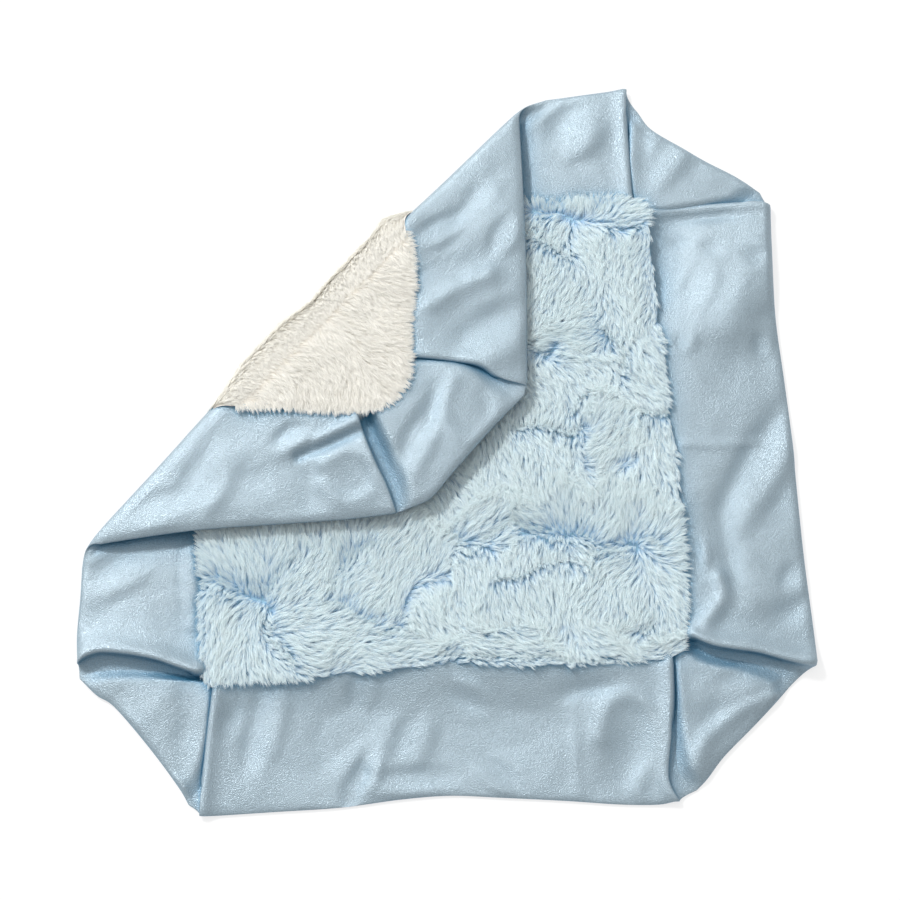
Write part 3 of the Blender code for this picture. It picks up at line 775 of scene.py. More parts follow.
# Each satin piece: its seam, hem, two ends, heights and random seed
SATIN_LAYOUT = {
    "satin_band_left": (left_seam, left_hem, None, left_end, LYING, 11),
    "satin_corner_bottom_left": (
        bottom_left_seam, bottom_left_hem, Tuck(left_end), Tuck(bottom_start), GUSSET, 12),
    "satin_band_bottom": (bottom_seam, bottom_hem, bottom_start, bottom_end, BOTTOM, 13),
    "satin_corner_bottom_right": (
        bottom_right_seam, bottom_right_hem, Tuck(bottom_end), Tuck(right_start), GUSSET, 14),
    "satin_band_right": (right_seam, right_hem, right_start, right_end, LYING, 15),
    "satin_corner_top_right": (top_right_seam, top_right_hem, Tuck(right_end), Tuck(top_start), GUSSET, 16),
    "satin_band_top": (top_seam, top_hem, top_start, None, LYING, 17),
    "satin_turned_top": (turned_top_seam, turned_top_hem, None, flap_top_end, TURNED_TOP, 18),
    "satin_corner_top_left": (
        turned_gusset_seam, turned_gusset_hem, Tuck(flap_top_end), Tuck(flap_left_start), TURNED_GUSSET, 19),
    "satin_turned_left": (turned_left_seam, turned_left_hem, flap_left_start, None, TURNED_LEFT, 20),
}
TURNED_PIECES = ("satin_turned_top", "satin_turned_left", "satin_corner_top_left")

# How far the satin reaches round the fold: inside, at the seam on each side, and at the hem
SATIN_INNER_REACH = 3.6
TOP_SEAM_REACH = 6.6
LEFT_SEAM_REACH = 9.0
HEM_REACH = 5.8

# Each piece of the fold: its two bodies, where the first one's hold ends, the height over which
# the other's begins, and that height's slant along the fold
SATIN_BENDS = {
    "satin_fold_top": ("blanket", "turned_corner", (-14, 108, 10), 3, 0.04),
    "satin_fold_left": ("blanket", "turned_corner", (-103, 19, 9), 3, -0.029),
}
PLUSH_BEND = ("turned_corner", "blanket", (-57, 65, 17.4), -12.2, 0)


def bend_over(made, first, second, start, height, shift):
    """Bakes the piece's placement into its mesh."""
    start = np.array(start, float)
    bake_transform(made)


def fold_over(lying, turned, seam_reach):
    """Columns round the fold, from a lying border's cut end to the turned one's."""
    place = np.linspace(0, 1, len(lying))[:, None]
    share = smooth_step((place - 0.35) / 0.3)
    outer_reach = HEM_REACH + (seam_reach - HEM_REACH) * (2 * place - 1)
    out = np.append(FOLD_SIDE, 0) * (SATIN_INNER_REACH * (1 - share) + outer_reach * share)
    slope = FOLD_SLOPE * smooth_step((1 - np.abs(2 * place - 1)) / FOLD_SLOPE_START)
    return np.array([round_fold(lying, turned, out, u, slope) for u in np.linspace(0, 1, FOLD_COLUMNS)])


pieces = {}
for node, (seam, hem, start, end, heights, seed) in SATIN_LAYOUT.items():
    pieces[node] = lay_satin(seam, hem, start, end, heights, FOLDS[node], seed, node in TURNED_PIECES)
pieces["satin_fold_top"] = fold_over(
    pieces["satin_band_top"][-1], pieces["satin_turned_top"][0], TOP_SEAM_REACH)
pieces["satin_fold_left"] = fold_over(
    pieces["satin_band_left"][0], pieces["satin_turned_left"][-1], LEFT_SEAM_REACH)[::-1]

for node, columns in pieces.items():
    made = satin_object("cloth_" + node, columns)
    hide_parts(node)
    if node in SATIN_BENDS:
        bend_over(made, *SATIN_BENDS[node])
    else:
        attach(made, "turned_corner" if node in TURNED_PIECES else "blanket")


# Plush panels: their cloth

# Heights of the knits, the least gap between them, how far from the fold they lie flat, and their lumps
BLUE_KNIT_HEIGHT = 5.1
CREAM_KNIT_HEIGHT = 3.1
KNIT_GAP = 0.9
FOLD_CALM = 20
PANEL_LUMP = 40
PANEL_LUMP_HEIGHT = 0.5
FLAP_LUMP = 38
FLAP_LUMP_HEIGHT = 0.6

# Where the two panels end, in the blanket and in its turned corner
PANEL_OUTLINE = [
    (-125, -3), (-125, -50), (-124.5, -90), (-124.5, -126), (-121, -131), (-94, -131), (-64, -131),
    (-30, -128.5), (6, -126), (52, -129), (85, -129.5), (122, -128.5), (130, -122), (133, -96), (133, -53),
    (133, -13), (131, 0), (128.5, 48), (126.5, 101), (125.5, 126), (120, 130.5), (111, 132.5), (86, 131),
    (60, 131), (9, 131),
]
FLAP_OUTLINE = [
    (-106.5, 15.5), (-75, 14.5), (-48, 11.5), (-33, 11.5), (-23, 14.5), (-15.5, 20.5), (-11, 29),
    (-9.5, 37), (-10.5, 53), (-7, 77), (-6.5, 100), (-9, 113),
]

# The lie of the blue pile as read off the photograph: pixels, and the heading in degrees from root to tip
BLUE_LIE = [
    (206, 560, 150), (212, 542, 135), (230, 570, 120), (232, 548, 112), (250, 575, 100), (252, 545, 100),
    (270, 570, 85), (272, 545, 84), (290, 545, 78), (282, 565, 75), (215, 595, -110), (208, 620, -97),
    (240, 605, -125), (236, 628, -108), (222, 655, -93), (250, 650, -85), (255, 672, -78), (212, 676, -95),
    (280, 672, -52), (256, 610, -105), (256, 585, 92), (278, 598, 48), (295, 580, 50), (312, 566, 55),
    (300, 600, 30), (282, 620, 12), (305, 618, 15), (285, 642, -18), (300, 655, -35), (310, 640, 0),
    (318, 545, 95), (335, 552, 105), (322, 585, 55), (345, 545, 85), (318, 600, 40), (352, 580, 40),
    (372, 565, 50), (362, 545, 70), (378, 545, 62), (400, 550, 55), (345, 600, 60), (365, 605, 45),
    (395, 580, 60), (392, 605, 75), (430, 560, 70), (415, 535, 60), (430, 600, -60), (440, 625, -55),
    (415, 610, -75), (335, 625, 8), (350, 640, 25), (330, 655, 28), (375, 645, -12), (400, 645, 12),
    (440, 645, 30), (370, 660, -10), (470, 510, 40), (455, 525, 45), (490, 522, 35), (500, 500, 60),
    (530, 515, 140), (548, 512, 128), (562, 515, 110), (572, 515, 90), (586, 515, 75), (600, 528, 60),
    (612, 515, 68), (626, 515, 95), (642, 500, 80), (652, 520, 62), (664, 532, 38), (676, 520, 30),
    (680, 545, 5), (686, 562, -10), (670, 555, 10), (688, 590, -55), (530, 548, -95), (560, 548, -85),
    (580, 552, -70), (600, 560, -130), (620, 562, -140), (632, 572, -120), (642, 582, -100),
    (652, 572, -72), (664, 572, -55), (672, 592, -70), (468, 560, -88), (480, 590, -85), (450, 600, -95),
    (510, 592, -80), (545, 590, -78), (570, 600, -92), (592, 600, -105), (604, 590, -112), (630, 605, -98),
    (500, 612, -60), (555, 630, -115), (575, 632, -70), (592, 628, -42), (620, 640, -45), (605, 645, -20),
    (635, 620, -140), (650, 615, -120), (662, 625, -60), (670, 642, 18), (650, 648, 12), (520, 640, -20),
    (470, 640, -15), (545, 648, -8), (600, 660, -30), (545, 200, 80), (562, 200, 70), (575, 205, 95),
    (592, 198, 85), (615, 194, 28), (638, 200, 12), (648, 210, -5), (620, 212, 8), (610, 205, 45),
    (540, 222, -140), (560, 225, -100), (578, 232, -50), (590, 250, -78), (555, 232, -120),
    (545, 262, -100), (565, 272, -98), (605, 240, -92), (620, 260, -98), (640, 240, -122), (652, 232, -100),
    (648, 280, -110), (655, 310, -112), (630, 290, -92), (605, 290, -95), (552, 300, -115),
    (575, 300, -125), (592, 312, -140), (540, 315, -110), (560, 325, -165), (590, 330, -178),
    (550, 340, -172), (585, 342, 178), (612, 318, -75), (628, 312, -80), (645, 325, -95), (662, 330, -60),
    (562, 350, 8), (580, 355, -20), (596, 362, -45), (585, 376, -58), (545, 372, -65), (560, 392, -82),
    (540, 402, -92), (575, 402, -100), (532, 385, -70), (612, 372, -88), (632, 362, -48), (648, 352, -60),
    (628, 385, -55), (650, 382, -55), (664, 372, -70), (602, 402, 52), (590, 415, 60), (600, 432, 48),
    (592, 452, 42), (620, 424, 48), (622, 450, 70), (640, 428, -100), (655, 432, -88), (668, 440, -82),
    (672, 470, -80), (640, 470, -95), (625, 480, -100), (545, 440, -88), (565, 455, -90), (520, 442, -82),
    (500, 455, -76), (482, 472, -78), (540, 480, -80), (582, 480, -62), (570, 430, -95), (505, 482, -70),
    (455, 495, -60), (440, 515, -70), (600, 480, 60), (560, 492, 85), (655, 490, -95), (675, 492, -85),
    (612, 492, 85),
]

# Partings where the pile opens on its roots: a line of pixels, its width in millimetres and its depth
BLUE_PARTINGS = [
    ([(198, 584), (220, 583), (238, 592), (262, 593)], 2.6, 2.2),
    ([(264, 594), (262, 612), (265, 628), (270, 640), (290, 660)], 2.0, 3.0),
    ([(268, 592), (280, 574), (296, 556)], 1.6, 1.8),
    ([(330, 590), (336, 576), (348, 562), (368, 548)], 2.6, 2.2),
    ([(320, 606), (340, 607), (356, 620), (372, 623)], 1.6, 1.8),
    ([(374, 634), (398, 630), (416, 627)], 1.6, 1.8),
    ([(440, 526), (450, 538), (466, 547), (480, 541), (496, 530), (514, 518)], 2.6, 2.6),
    ([(516, 524), (545, 532), (570, 536), (586, 538), (592, 548)], 2.2, 2.2),
    ([(592, 548), (620, 547), (646, 541), (660, 550)], 2.0, 1.6),
    ([(494, 574), (520, 572), (542, 559), (574, 557), (592, 564)], 1.8, 2.4),
    ([(545, 212), (556, 208)], 3.0, 1.6), ([(532, 232), (552, 240), (566, 250)], 3.0, 1.8),
    ([(598, 214), (604, 206)], 2.0, 1.4), ([(606, 223), (640, 223)], 1.4, 1.5),
    ([(604, 322), (612, 334), (622, 345), (622, 368)], 2.4, 2.0),
    ([(532, 338), (548, 350), (560, 352)], 2.2, 1.8),
    ([(516, 424), (540, 420), (556, 424), (572, 430), (578, 424)], 2.6, 2.4),
    ([(573, 408), (580, 393), (598, 385)], 1.6, 1.6), ([(612, 402), (640, 407), (676, 410)], 2.4, 2.0),
    ([(480, 630), (510, 622), (545, 623)], 2.2, 1.4),
    ([(440, 655), (500, 654), (570, 657), (640, 664)], 2.2, 1.6), ([(646, 628), (654, 620)], 2.0, 1.8),
]

# The lie of the cream pile on the turned corner: a place in millimetres and the heading in degrees
CREAM_LIE = [
    (-100, 17, -45), (-80, 38, -45), (-60, 58, -45), (-40, 78, -45), (-20, 98, -45), (-70, 20, -65),
    (-48, 38, -60), (-30, 58, -30), (-18, 78, -25), (-45, 18, -80), (-15, 35, -45), (-14, 55, -15),
]

PILE_TOP_HEIGHT = 9.0
PARTING_MARGIN = 1.2
PARTING_DIP = 0.6
partings = [(on_plan(line, PILE_TOP_HEIGHT), width, depth) for line, width, depth in BLUE_PARTINGS]
BLUE_SWELLS = {
    "hills": [
        (60, -30, 40, 26, 40, 1.0), (-60, -110, 22, 14, -30, 1.0), (100, -95, 24, 18, 20, 0.8),
        (95, 70, 26, 34, 0, 0.8), (10, -95, 30, 12, 10, 0.8),
    ],
    "ridges": [(line, width, -PARTING_DIP * depth) for line, width, depth in partings],
}


def sheet_points(outline, step):
    """A grid over the outline, with its rim drawn to the outline, and its faces."""
    low, high = outline.min(0) - step, outline.max(0) + step
    xs, ys = (np.arange(low[k], high[k] + step, step) for k in (0, 1))
    grid = np.stack(np.meshgrid(xs, ys, indexing="ij"), -1)
    within = inside(grid, outline)
    faces = grid_faces(*grid.shape[:2])[:, ::-1]
    kept = faces[within.reshape(-1)[faces].any(1)]
    flat = grid.reshape(-1, 2)
    nearest, _ = nearest_on(flat, outline)
    flat = np.where(within.reshape(-1)[:, None], flat, nearest)
    used, kept = np.unique(kept, return_inverse=True)
    return flat[used], kept.reshape(-1, 4)


def panel_piece(node, outline, height, step, material, body):
    flat, faces = sheet_points(outline, step)
    uv = (flat - outline.min(0)) / (outline.max(0) - outline.min(0))
    made = make_mesh("cloth_" + node, with_height(flat, height(flat)), [faces], uv, material)
    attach(made, body)
    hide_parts(node)


def with_height(points, heights):
    return np.concatenate([points, heights[..., None]], -1)


def blue_height(points):
    away = smooth_step(np.abs(fold_distance(points)) / FOLD_CALM)
    lumps = relief(points, **BLUE_SWELLS) + PANEL_LUMP_HEIGHT * waves(points, PANEL_LUMP, 31)
    return np.maximum(BLUE_KNIT_HEIGHT + lumps * away, CREAM_KNIT_HEIGHT + KNIT_GAP)


def cream_height(points):
    return np.full(points.shape[:-1], CREAM_KNIT_HEIGHT)


def flap_lumps(points):
    away = smooth_step(np.abs(fold_distance(points)) / FOLD_CALM)
    return away * FLAP_LUMP_HEIGHT * waves(points, FLAP_LUMP, 33)


def flap_cream_height(points):
    return 2 * HINGE_HEIGHT - CREAM_KNIT_HEIGHT + flap_lumps(points)


def flap_blue_height(points):
    return 2 * HINGE_HEIGHT - BLUE_KNIT_HEIGHT + flap_lumps(points)


def shrunk(outline, inset):
    """The outline drawn in towards its middle."""
    middle = outline.mean(0)
    span = outline.max(0) - outline.min(0)
    return middle + (outline - middle) * (1 - 2 * inset / span)


BACK_INSET = 4
panel = np.array(PANEL_OUTLINE, float)
flap = np.array(FLAP_OUTLINE, float)
panel_piece("front_plush_panel", panel, blue_height, step=2.5, material=BLUE_KNIT,
            body="blanket")
panel_piece("back_plush_panel", shrunk(panel, BACK_INSET), cream_height, step=5, material=CREAM_KNIT,
            body="blanket")
panel_piece("front_plush_corner", flap, flap_blue_height, step=3, material=BLUE_KNIT,
            body="turned_corner")
panel_piece("back_plush_corner", flap, flap_cream_height, step=2.5, material=CREAM_KNIT,
            body="turned_corner")


# Plush panels: their pile

# A lock's strands, their width, how far they spread and draw together, their angles in degrees at root and
# tip, how unruly they are, how upright, and their segments. Single piles change some of these
PILE_LOOK = {"strands": 12, "width": 0.2, "spread": 0.95, "pinch": 0.2, "lift": (45, 90), "loose": 1.0,
             "upright": 0, "segments": 4}
FLATTEST = math.radians(96)
STRANDS_PER_TILE = 24000
PARTED_STAND = 0.7
PARTED_SHORTENING = 0.35
UNDERSIDE_INSET = 8

# How locks and strands differ: their lengths and widths as shares, turns in radians and jitter in degrees
LOCK_LENGTHS = (0.82, 1.15)
STRAND_LENGTHS = (0.8, 1.08)
STRAND_WIDTHS = (0.75, 1.25)
LOCK_SWING = 0.2
STRAND_ROLL = 0.7
ROOT_JITTER = 5
TIP_JITTER = 4
LOCK_CURL = 0.28
STRAND_CURL = 0.15
CURL_TURN = 4.5

# How a strand draws in and tapers, and by what share its lean at root and tip falls where it stands up
PINCH_POWER = 1.4
TAPER_START = 0.35
TAPER_POWER = 1.3
TAPER_SHARE = 0.9
ROOT_RISE = 0.7
TIP_RISE = 0.3

# The lie: how sharply it follows the nearest places in its table, and its unrest in radians
LIE_SOFTNESS = 6
LIE_POWER = 2.5
UNREST = 0.3
LONG_UNREST = 24
SHORT_UNREST = 8
SHORT_UNREST_SHARE = 0.6

# How much of its length trimmed pile has at the rim, what it gains inwards, and over what distance
RIM_LENGTH_SHARE = 0.7
RIM_LENGTH_GAIN = 0.3
RIM_TRIM_WIDTH = 8


def lean_angles(random, degrees, jitter, each):
    """Angles for the strands, with a jitter of each lock's and one of each strand's."""
    locks = each[-1] + 1
    return np.radians(degrees + random.normal(0, jitter, locks)[each] + random.normal(0, jitter, len(each)))


def strand_spines(random, roots, normals, combs, lengths, each, look):
    """The middle lines of strands that leave along the normal and lie over towards the comb."""
    locks = len(roots)
    total = len(each)
    lengths = lengths * random.uniform(*LOCK_LENGTHS, locks)
    side = unit(np.cross(combs, normals))
    swing = random.normal(0, LOCK_SWING * look.loose, locks)[:, None]
    combs = unit(combs * np.cos(swing) + side * np.sin(swing))
    n = normals[each]
    c = combs[each]
    b = unit(np.cross(c, n))
    angle = random.uniform(0, 2 * math.pi, total)
    radius = look.spread * np.sqrt(random.uniform(0, 1, total))
    offset = c * (radius * np.cos(angle))[:, None] + b * (radius * np.sin(angle))[:, None]
    stand = (np.zeros(locks) + look.upright)[each]
    root_lean, tip_lean = look.lift
    start = lean_angles(random, root_lean * (1 - ROOT_RISE * stand), ROOT_JITTER * look.loose, each)
    end = lean_angles(random, tip_lean * (1 - TIP_RISE * stand), TIP_JITTER * look.loose, each)
    rate = np.minimum(end, FLATTEST) - start
    length = lengths[each] * random.uniform(*STRAND_LENGTHS, total)
    curl = random.normal(0, LOCK_CURL * look.loose, locks)[each] + random.normal(0, STRAND_CURL, total)
    phase = random.uniform(0, 2 * math.pi, locks)[each]
    spine = []
    for s in np.linspace(0, 1, look.segments + 1):
        turned = start + rate * s
        ahead = length * (np.cos(start) - np.cos(turned)) / rate
        up = length * (np.sin(turned) - np.sin(start)) / rate
        wave = curl * s * np.sin(phase + CURL_TURN * s)
        drawn = offset * (1 - look.pinch * s**PINCH_POWER)
        spine.append(roots[each] + drawn + c * ahead[:, None] + n * up[:, None] + b * wave[:, None])
    spine = np.array(spine)
    spine[..., 2] = np.maximum(spine[..., 2], look.width)
    return spine


def ribbons(random, spine, n, look):
    """The corners of tapered ribbons along the spines, each turned a little about its own line."""
    total = spine.shape[1]
    heading = unit(np.gradient(spine, axis=0))
    roll = random.uniform(-STRAND_ROLL, STRAND_ROLL, total)[:, None]
    across = unit(np.cross(heading, n[None]))
    across = unit(across * np.cos(roll) + np.cross(heading, across) * np.sin(roll))
    shares = np.linspace(0, 1, look.segments + 1)
    narrowing = np.clip((shares - TAPER_START) / (1 - TAPER_START), 0, 1) ** TAPER_POWER * TAPER_SHARE
    taper = look.width * (1 - narrowing)
    half = across * taper[:, None, None] / 2 * random.uniform(*STRAND_WIDTHS, total)[None, :, None]
    sides = np.stack([spine[:-1] - half[:-1], spine[:-1] + half[:-1]], 1)
    points = np.concatenate([sides.reshape(2 * look.segments, total, 3), spine[-1:]])
    return points.transpose(1, 0, 2)


def ribbon_faces(count, segments):
    base = (np.arange(count) * (2 * segments + 1))[:, None]
    quads = [base + np.array([[2 * j, 2 * j + 1, 2 * j + 3, 2 * j + 2]]) for j in range(segments - 1)]
    tips = base + np.array([[2 * segments - 2, 2 * segments - 1, 2 * segments]])
    return [np.concatenate(quads), tips]


def pile(name, roots, normals, combs, lengths, *, material, body, slot, seed, **changes):
    """Pile of tapered strands, in locks whose tips draw together. Without a body its placement is baked into
    its mesh.
    """
    look = SimpleNamespace(**{**PILE_LOOK, **changes})
    random = np.random.default_rng(seed)
    locks = len(roots)
    each = np.repeat(np.arange(locks), look.strands)
    spine = strand_spines(random, roots, normals, combs, lengths, each, look)
    points = ribbons(random, spine, normals[each], look)
    tone = random.uniform(0, 1, locks)[each] * 0.8 + random.uniform(0, 0.2, len(each))
    shares = np.linspace(0, 1, look.segments + 1)[:-1]
    along = np.concatenate([np.repeat(shares, 2), [1.0]])
    uv = np.stack(np.broadcast_arrays(tone[:, None], along[None]), -1)
    order = np.argsort(roots[each][:, 0] + 0.37 * roots[each][:, 1], kind="stable")
    count = max(1, math.ceil(len(each) / STRANDS_PER_TILE))
    for k, chosen in enumerate(np.array_split(order, count)):
        label = name if count == 1 else f"{name}_{k + 1}"
        faces = ribbon_faces(len(chosen), look.segments)
        made = make_mesh(label, points[chosen].reshape(-1, 3), faces, uv[chosen].reshape(-1, 2), material)
        if body is None:
            bend_over(made, *PLUSH_BEND)
        else:
            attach(made, body)


def scatter(outline, step, seed):
    """Jittered grid points in the outline."""
    random = np.random.default_rng(seed)
    low, high = outline.min(0), outline.max(0)
    xs, ys = (np.arange(low[k], high[k], step) for k in (0, 1))
    grid = np.stack(np.meshgrid(xs, ys, indexing="ij"), -1).reshape(-1, 2)
    grid = grid + random.uniform(-0.5, 0.5, grid.shape) * step
    return grid[inside(grid, outline)]


def surface_normals(points, height, up):
    step = 0.5
    dx = (height(points + [step, 0]) - height(points - [step, 0])) / (2 * step)
    dy = (height(points + [0, step]) - height(points - [0, step])) / (2 * step)
    return unit(np.stack([-dx, -dy, np.ones_like(dx)], -1)) * up


def combed(points, lie, seed):
    """Unit headings of the pile: those of the nearest places in its lie, with a little unrest."""
    places = np.array([row[:2] for row in lie], float)
    turns = np.radians([row[2] for row in lie])
    headings = np.stack([np.cos(turns), np.sin(turns)], -1)
    total = np.zeros(points.shape)
    for place, heading in zip(places, headings):
        near = 1 / (((points - place) ** 2).sum(-1) + LIE_SOFTNESS) ** LIE_POWER
        total += heading * near[..., None]
    total = unit(total)
    turn = waves(points, LONG_UNREST, seed) + SHORT_UNREST_SHARE * waves(points, SHORT_UNREST, seed + 1)
    turn = UNREST * turn
    c, s = np.cos(turn), np.sin(turn)
    return np.stack([total[..., 0] * c - total[..., 1] * s, total[..., 0] * s + total[..., 1] * c], -1)


def outward(points, outline, combs, reach, heading_share):
    """Headings that turn out over the outline's rim within reach of it, and the distance from it."""
    nearest, distance = nearest_on(points, outline)
    out = unit(nearest - points)
    share = (smooth_step(1 - distance / reach) * heading_share)[..., None]
    return unit(combs * (1 - share) + out * share), distance


def level(headings, normals):
    """Plan headings as unit vectors that lie in the surface."""
    flat = np.concatenate([headings, np.zeros(headings.shape[:-1] + (1,))], -1)
    return unit(flat - normals * (flat * normals).sum(-1, keepdims=True))


def parting_closeness(points):
    near = np.zeros(points.shape[:-1])
    for line, width, _ in partings:
        near = np.maximum(near, relief(points, ridges=[(line, width + PARTING_MARGIN, 1.0)]))
    return near


def plant(name, outline, height, *, up, spacing, lie, rim, length, seed, trimmed=False, parted=False, **look):
    """Pile on a sheet. It lies as combed and turns out near the rim, where trimmed pile is shorter, so that
    its tufts overhang the sheet by a little. Where it is parted it stands up, and is shorter too."""
    roots = scatter(outline, spacing, seed)
    normals = surface_normals(roots, height, up)
    combs, distance = outward(roots, outline, combed(roots, lie, seed + 10), *rim)
    lengths = np.full(len(roots), length)
    if trimmed:
        lengths = lengths * (RIM_LENGTH_SHARE + RIM_LENGTH_GAIN * smooth_step(distance / RIM_TRIM_WIDTH))
    if parted:
        look["upright"] = PARTED_STAND * parting_closeness(roots)
        lengths = lengths * (1 - PARTED_SHORTENING * look["upright"])
    places = with_height(roots, height(roots))
    pile(name, places, normals, level(combs, normals), lengths, seed=seed + 20, **look)


blue_lie = [(*on_plan([row[:2]], PILE_TOP_HEIGHT)[0], row[2]) for row in BLUE_LIE]
plant("blue_pile", panel, blue_height, up=1, spacing=1.35, lie=blue_lie, rim=(6, 0.2), length=9.0, seed=41,
      trimmed=True, parted=True, material=BLUE_PILE, body="blanket", slot="blue_plush", loose=0.75)
plant("cream_underside_pile", shrunk(panel, UNDERSIDE_INSET), cream_height, up=-1, spacing=2.8, lie=blue_lie,
      rim=(6, 0.6), length=7.0, seed=42, material=CREAM_PILE, body="blanket", slot="cream_plush",
      strands=4, width=0.8, lift=(50, 88), segments=3)
plant("cream_pile", flap, flap_cream_height, up=1, spacing=1.1, lie=CREAM_LIE, rim=(7, 0.8), length=7.5,
      seed=43, trimmed=True, material=CREAM_PILE, body="turned_corner", slot="cream_plush",
      width=0.22, lift=(64, 92), loose=0.8)
plant("turned_blue_pile", flap, flap_blue_height, up=-1, spacing=2.0, lie=CREAM_LIE, rim=(6, 0.8), length=8.5,
      seed=44, material=BLUE_PILE, body="turned_corner", slot="blue_plush")


# Plush round the fold

# The strip's two edges on the plan, how far it bulges along them, and the columns and rows of its skins
LYING_EDGE = np.array([(-125, -3), (9, 131)], float)
TURNED_EDGE = np.array([(-106.5, 15.5), (-9, 113)], float)
FOLD_WAVE_SHARES = (0, 0.06, 0.2, 0.4, 0.53, 0.64, 0.86, 0.92, 0.96, 1)
FOLD_WAVE = (9.5, 10.5, 14.6, 14.8, 11.6, 13.2, 13.8, 16.0, 13.0, 9.0)
LEAST_REACH = 3
SKIN_COLUMNS = 70
SKIN_ROWS = 18
FOLD_PILE_WIDTH = 170
SKIN_STEP = 0.01


def fold_skin(inset, knit_height):
    """A plush skin round the fold: a function of shares along it and from its lying to its turned edge."""
    def skin(share, around):
        low, high = (ends[0] + (ends[1] - ends[0]) * share[..., None] for ends in (LYING_EDGE, TURNED_EDGE))
        low = with_height(low, np.full(share.shape, knit_height))
        high = with_height(high, np.full(share.shape, 2 * HINGE_HEIGHT - knit_height))
        reach = np.maximum(np.interp(share, FOLD_WAVE_SHARES, FOLD_WAVE) - inset, LEAST_REACH)
        return round_fold(low, high, np.append(FOLD_SIDE, 0) * reach[..., None], around[..., None], 0)
    return skin


def fold_piece(node, skin, material):
    shares = (np.linspace(0, 1, count) for count in (SKIN_COLUMNS, SKIN_ROWS))
    share, around = np.meshgrid(*shares, indexing="ij")
    uv = np.stack([share, around], -1).reshape(-1, 2)
    faces = [grid_faces(SKIN_COLUMNS, SKIN_ROWS)]
    made = make_mesh("cloth_" + node, skin(share, around).reshape(-1, 3), faces, uv, material)
    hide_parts(node)
    bend_over(made, *PLUSH_BEND)


def fold_pile(name, skin, *, outside, spacing, arc, length, seed, **look):
    """Pile on the outside of a skin, combed round the fold. The arc is about the skin's way round."""
    random = np.random.default_rng(seed)
    columns, rows = int(FOLD_PILE_WIDTH / spacing), int(arc / spacing)
    share, around = np.meshgrid(np.linspace(0.01, 0.99, columns), np.linspace(0, 1, rows), indexing="ij")
    share = np.clip(share + random.uniform(-0.5, 0.5, share.shape) / columns, 0, 1).ravel()
    around = np.clip(around + random.uniform(-0.5, 0.5, around.shape) / rows, 0.02, 0.98).ravel()
    roots = skin(share, around)
    next_around, last_around = (np.clip(around + step, 0, 1) for step in (SKIN_STEP, -SKIN_STEP))
    next_share, last_share = (np.clip(share + step, 0, 1) for step in (SKIN_STEP, -SKIN_STEP))
    turning = unit(skin(share, next_around) - skin(share, last_around))
    along = unit(skin(next_share, around) - skin(last_share, around))
    normals = unit(np.cross(along, turning)) * outside
    pile(name, roots, normals, turning, np.full(len(roots), length), body=None, seed=seed, **look)


cream_skin = fold_skin(2.0, CREAM_KNIT_HEIGHT)
blue_skin = fold_skin(4.5, BLUE_KNIT_HEIGHT)
fold_piece("back_plush_fold", cream_skin, CREAM_KNIT)
fold_piece("front_plush_fold", blue_skin, BLUE_KNIT)
fold_pile("cream_fold_pile", cream_skin, outside=-1, spacing=1.1, arc=30, length=6.0, seed=65,
          material=CREAM_PILE, slot="cream_plush", width=0.22, lift=(70, 92), pinch=0.1, loose=0.5)
fold_pile("blue_fold_pile", blue_skin, outside=1, spacing=2.2, arc=22, length=5.0, seed=66,
          material=BLUE_PILE, slot="blue_plush", lift=(20, 60))


# Seam thread

STITCH_LENGTH = 2.4
STITCH_GAP = 0.7
STITCH_RADIUS = 0.25
STITCH_GIRTH = STITCH_RADIUS * np.array([0.35, 0.9, 1.0, 0.9, 0.35])
STITCH_BOW = 0.25
STITCH_STANDS = 0.15
STITCH_SIDES = 6
SEAM_INSET = 1.5


def stitches(name, outline, height, node, body):
    """Lockstitches inside an outline of the plan: short rounded bars that bow a little out of the cloth."""
    line = shrunk(outline, SEAM_INSET)
    rings, sides = len(STITCH_GIRTH), STITCH_SIDES
    count = int(line_length(line) / (STITCH_LENGTH + STITCH_GAP))
    places = smooth_line(line, (np.arange(count) + 0.5) / count)
    along = unit(np.gradient(places, axis=0))
    across = np.stack([-along[:, 1], along[:, 0]], -1)
    share = np.linspace(-1, 1, rings)[:, None]
    turn = np.arange(sides) * 2 * math.pi / sides
    length = share * STITCH_LENGTH / 2 * np.ones(sides)
    aside = STITCH_GIRTH[:, None] * np.cos(turn)
    rise = STITCH_GIRTH[:, None] * np.sin(turn) + STITCH_BOW * (1 - share**2)
    plan = places[:, None, None] + along[:, None, None] * length[None, ..., None]
    plan = plan + across[:, None, None] * aside[None, ..., None]
    points = with_height(plan, height(plan) + STITCH_STANDS + rise)
    ring = np.arange(rings * sides).reshape(rings, sides)
    beside = np.roll(ring, -1, 1)
    walls = np.stack([ring[:-1], beside[:-1], beside[1:], ring[1:]], -1).reshape(-1, 4)
    ends = np.stack([ring[0][::-1], ring[-1]])
    first = (np.arange(count) * rings * sides)[:, None, None]
    faces = [(first + walls).reshape(-1, 4), (first + ends).reshape(-1, sides)]
    uv = np.stack(np.broadcast_arrays(share, turn[None]), -1).reshape(-1, 2)
    made = make_mesh(name, points.reshape(-1, 3), faces, np.tile(uv, (count, 1)), THREAD)
    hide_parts(node)
    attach(made, body)


stitches("border_stitches", panel, blue_height, "border_seam_thread", "blanket")
stitches("turned_stitches", flap, flap_cream_height, "turned_seam_thread", "turned_corner")


# Stage, light and camera

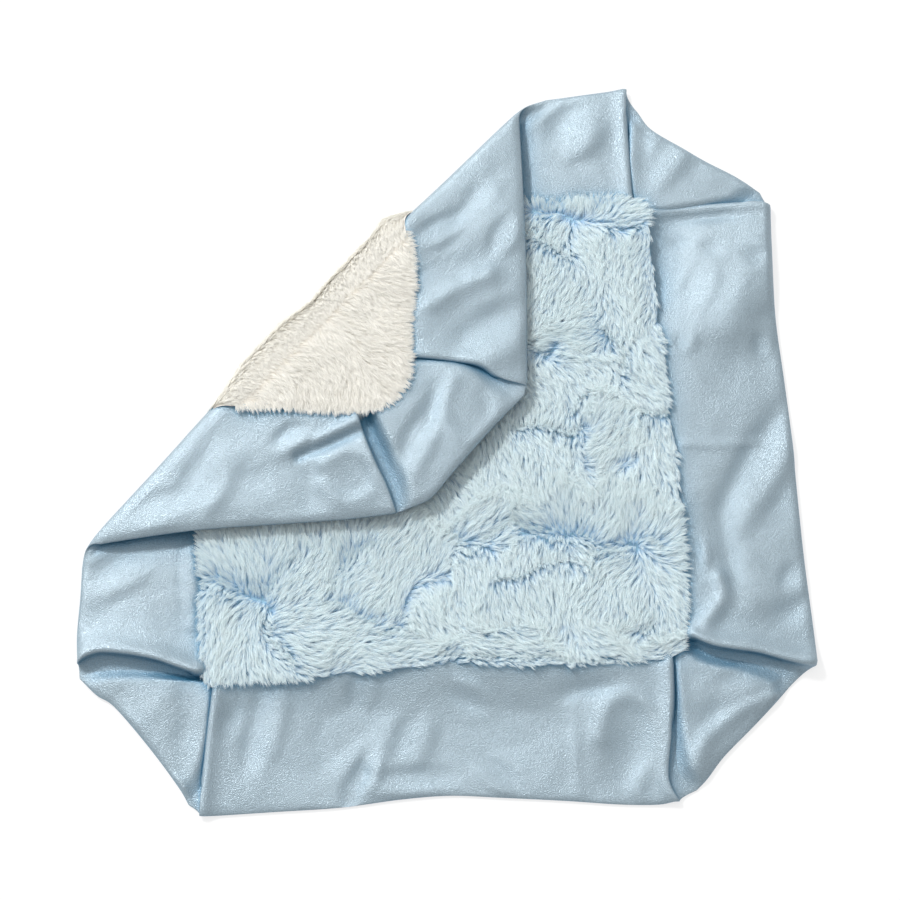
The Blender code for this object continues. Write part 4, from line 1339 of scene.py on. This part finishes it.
def add_floor():
    bpy.ops.mesh.primitive_plane_add(size=FLOOR_SIZE)
    floor = bpy.context.object
    floor.name = "floor"
    floor.data.materials.append(floor_material())


def add_lamp():
    data = bpy.data.lights.new("key", "AREA")
    data.shape = "DISK"
    data.size = LAMP_SIZE
    data.energy = LAMP_POWER
    lamp = bpy.data.objects.new("key", data)
    lamp.location = LAMP_PLACE
    lamp.rotation_euler = (-Vector(LAMP_PLACE)).to_track_quat("-Z", "Y").to_euler()
    bpy.context.scene.collection.objects.link(lamp)


def add_world():
    """A pale studio that is brighter towards the window side, and white where the camera sees it."""
    world = bpy.data.worlds.new("studio")
    world.use_nodes = True
    bpy.context.scene.world = world
    sky = Nodes(world.node_tree)
    place = sky.node("TexCoord").outputs["Generated"]
    facing = sky.node("VectorMath", {0: place, 1: WINDOW_SIDE}, operation="DOT_PRODUCT").outputs["Value"]
    window = {"Value": facing, "From Min": WINDOW_START, "From Max": WINDOW_FULL,
              "To Min": SHADE_SIDE_STRENGTH, "To Max": WINDOW_SIDE_STRENGTH}
    strength = sky.node("MapRange", window, interpolation_type="SMOOTHSTEP").outputs["Result"]
    to_camera = sky.node("LightPath").outputs["Is Camera Ray"]
    background = sky.tree.nodes["Background"]
    sky.feed(background.inputs["Color"], grey(1.0))
    sky.feed(background.inputs["Strength"], sky.node("Mix", {0: to_camera, 2: strength, 3: 1.0}).outputs[0])


def add_camera():
    reach = math.cos(VIEW_ELEVATION)
    back = Vector((math.sin(VIEW_TURN) * reach, -math.cos(VIEW_TURN) * reach, math.sin(VIEW_ELEVATION)))
    data = bpy.data.cameras.new("camera")
    data.lens = LENS
    data.sensor_width = SENSOR_WIDTH
    camera = bpy.data.objects.new("camera", data)
    camera.location = VIEW_TARGET + back * VIEW_DISTANCE
    camera.rotation_euler = (math.pi / 2 - VIEW_ELEVATION, 0, VIEW_TURN)
    bpy.context.scene.collection.objects.link(camera)
    bpy.context.scene.camera = camera


add_floor()
add_world()
add_lamp()
add_camera()
bpy.context.scene.view_settings.view_transform = "Standard"
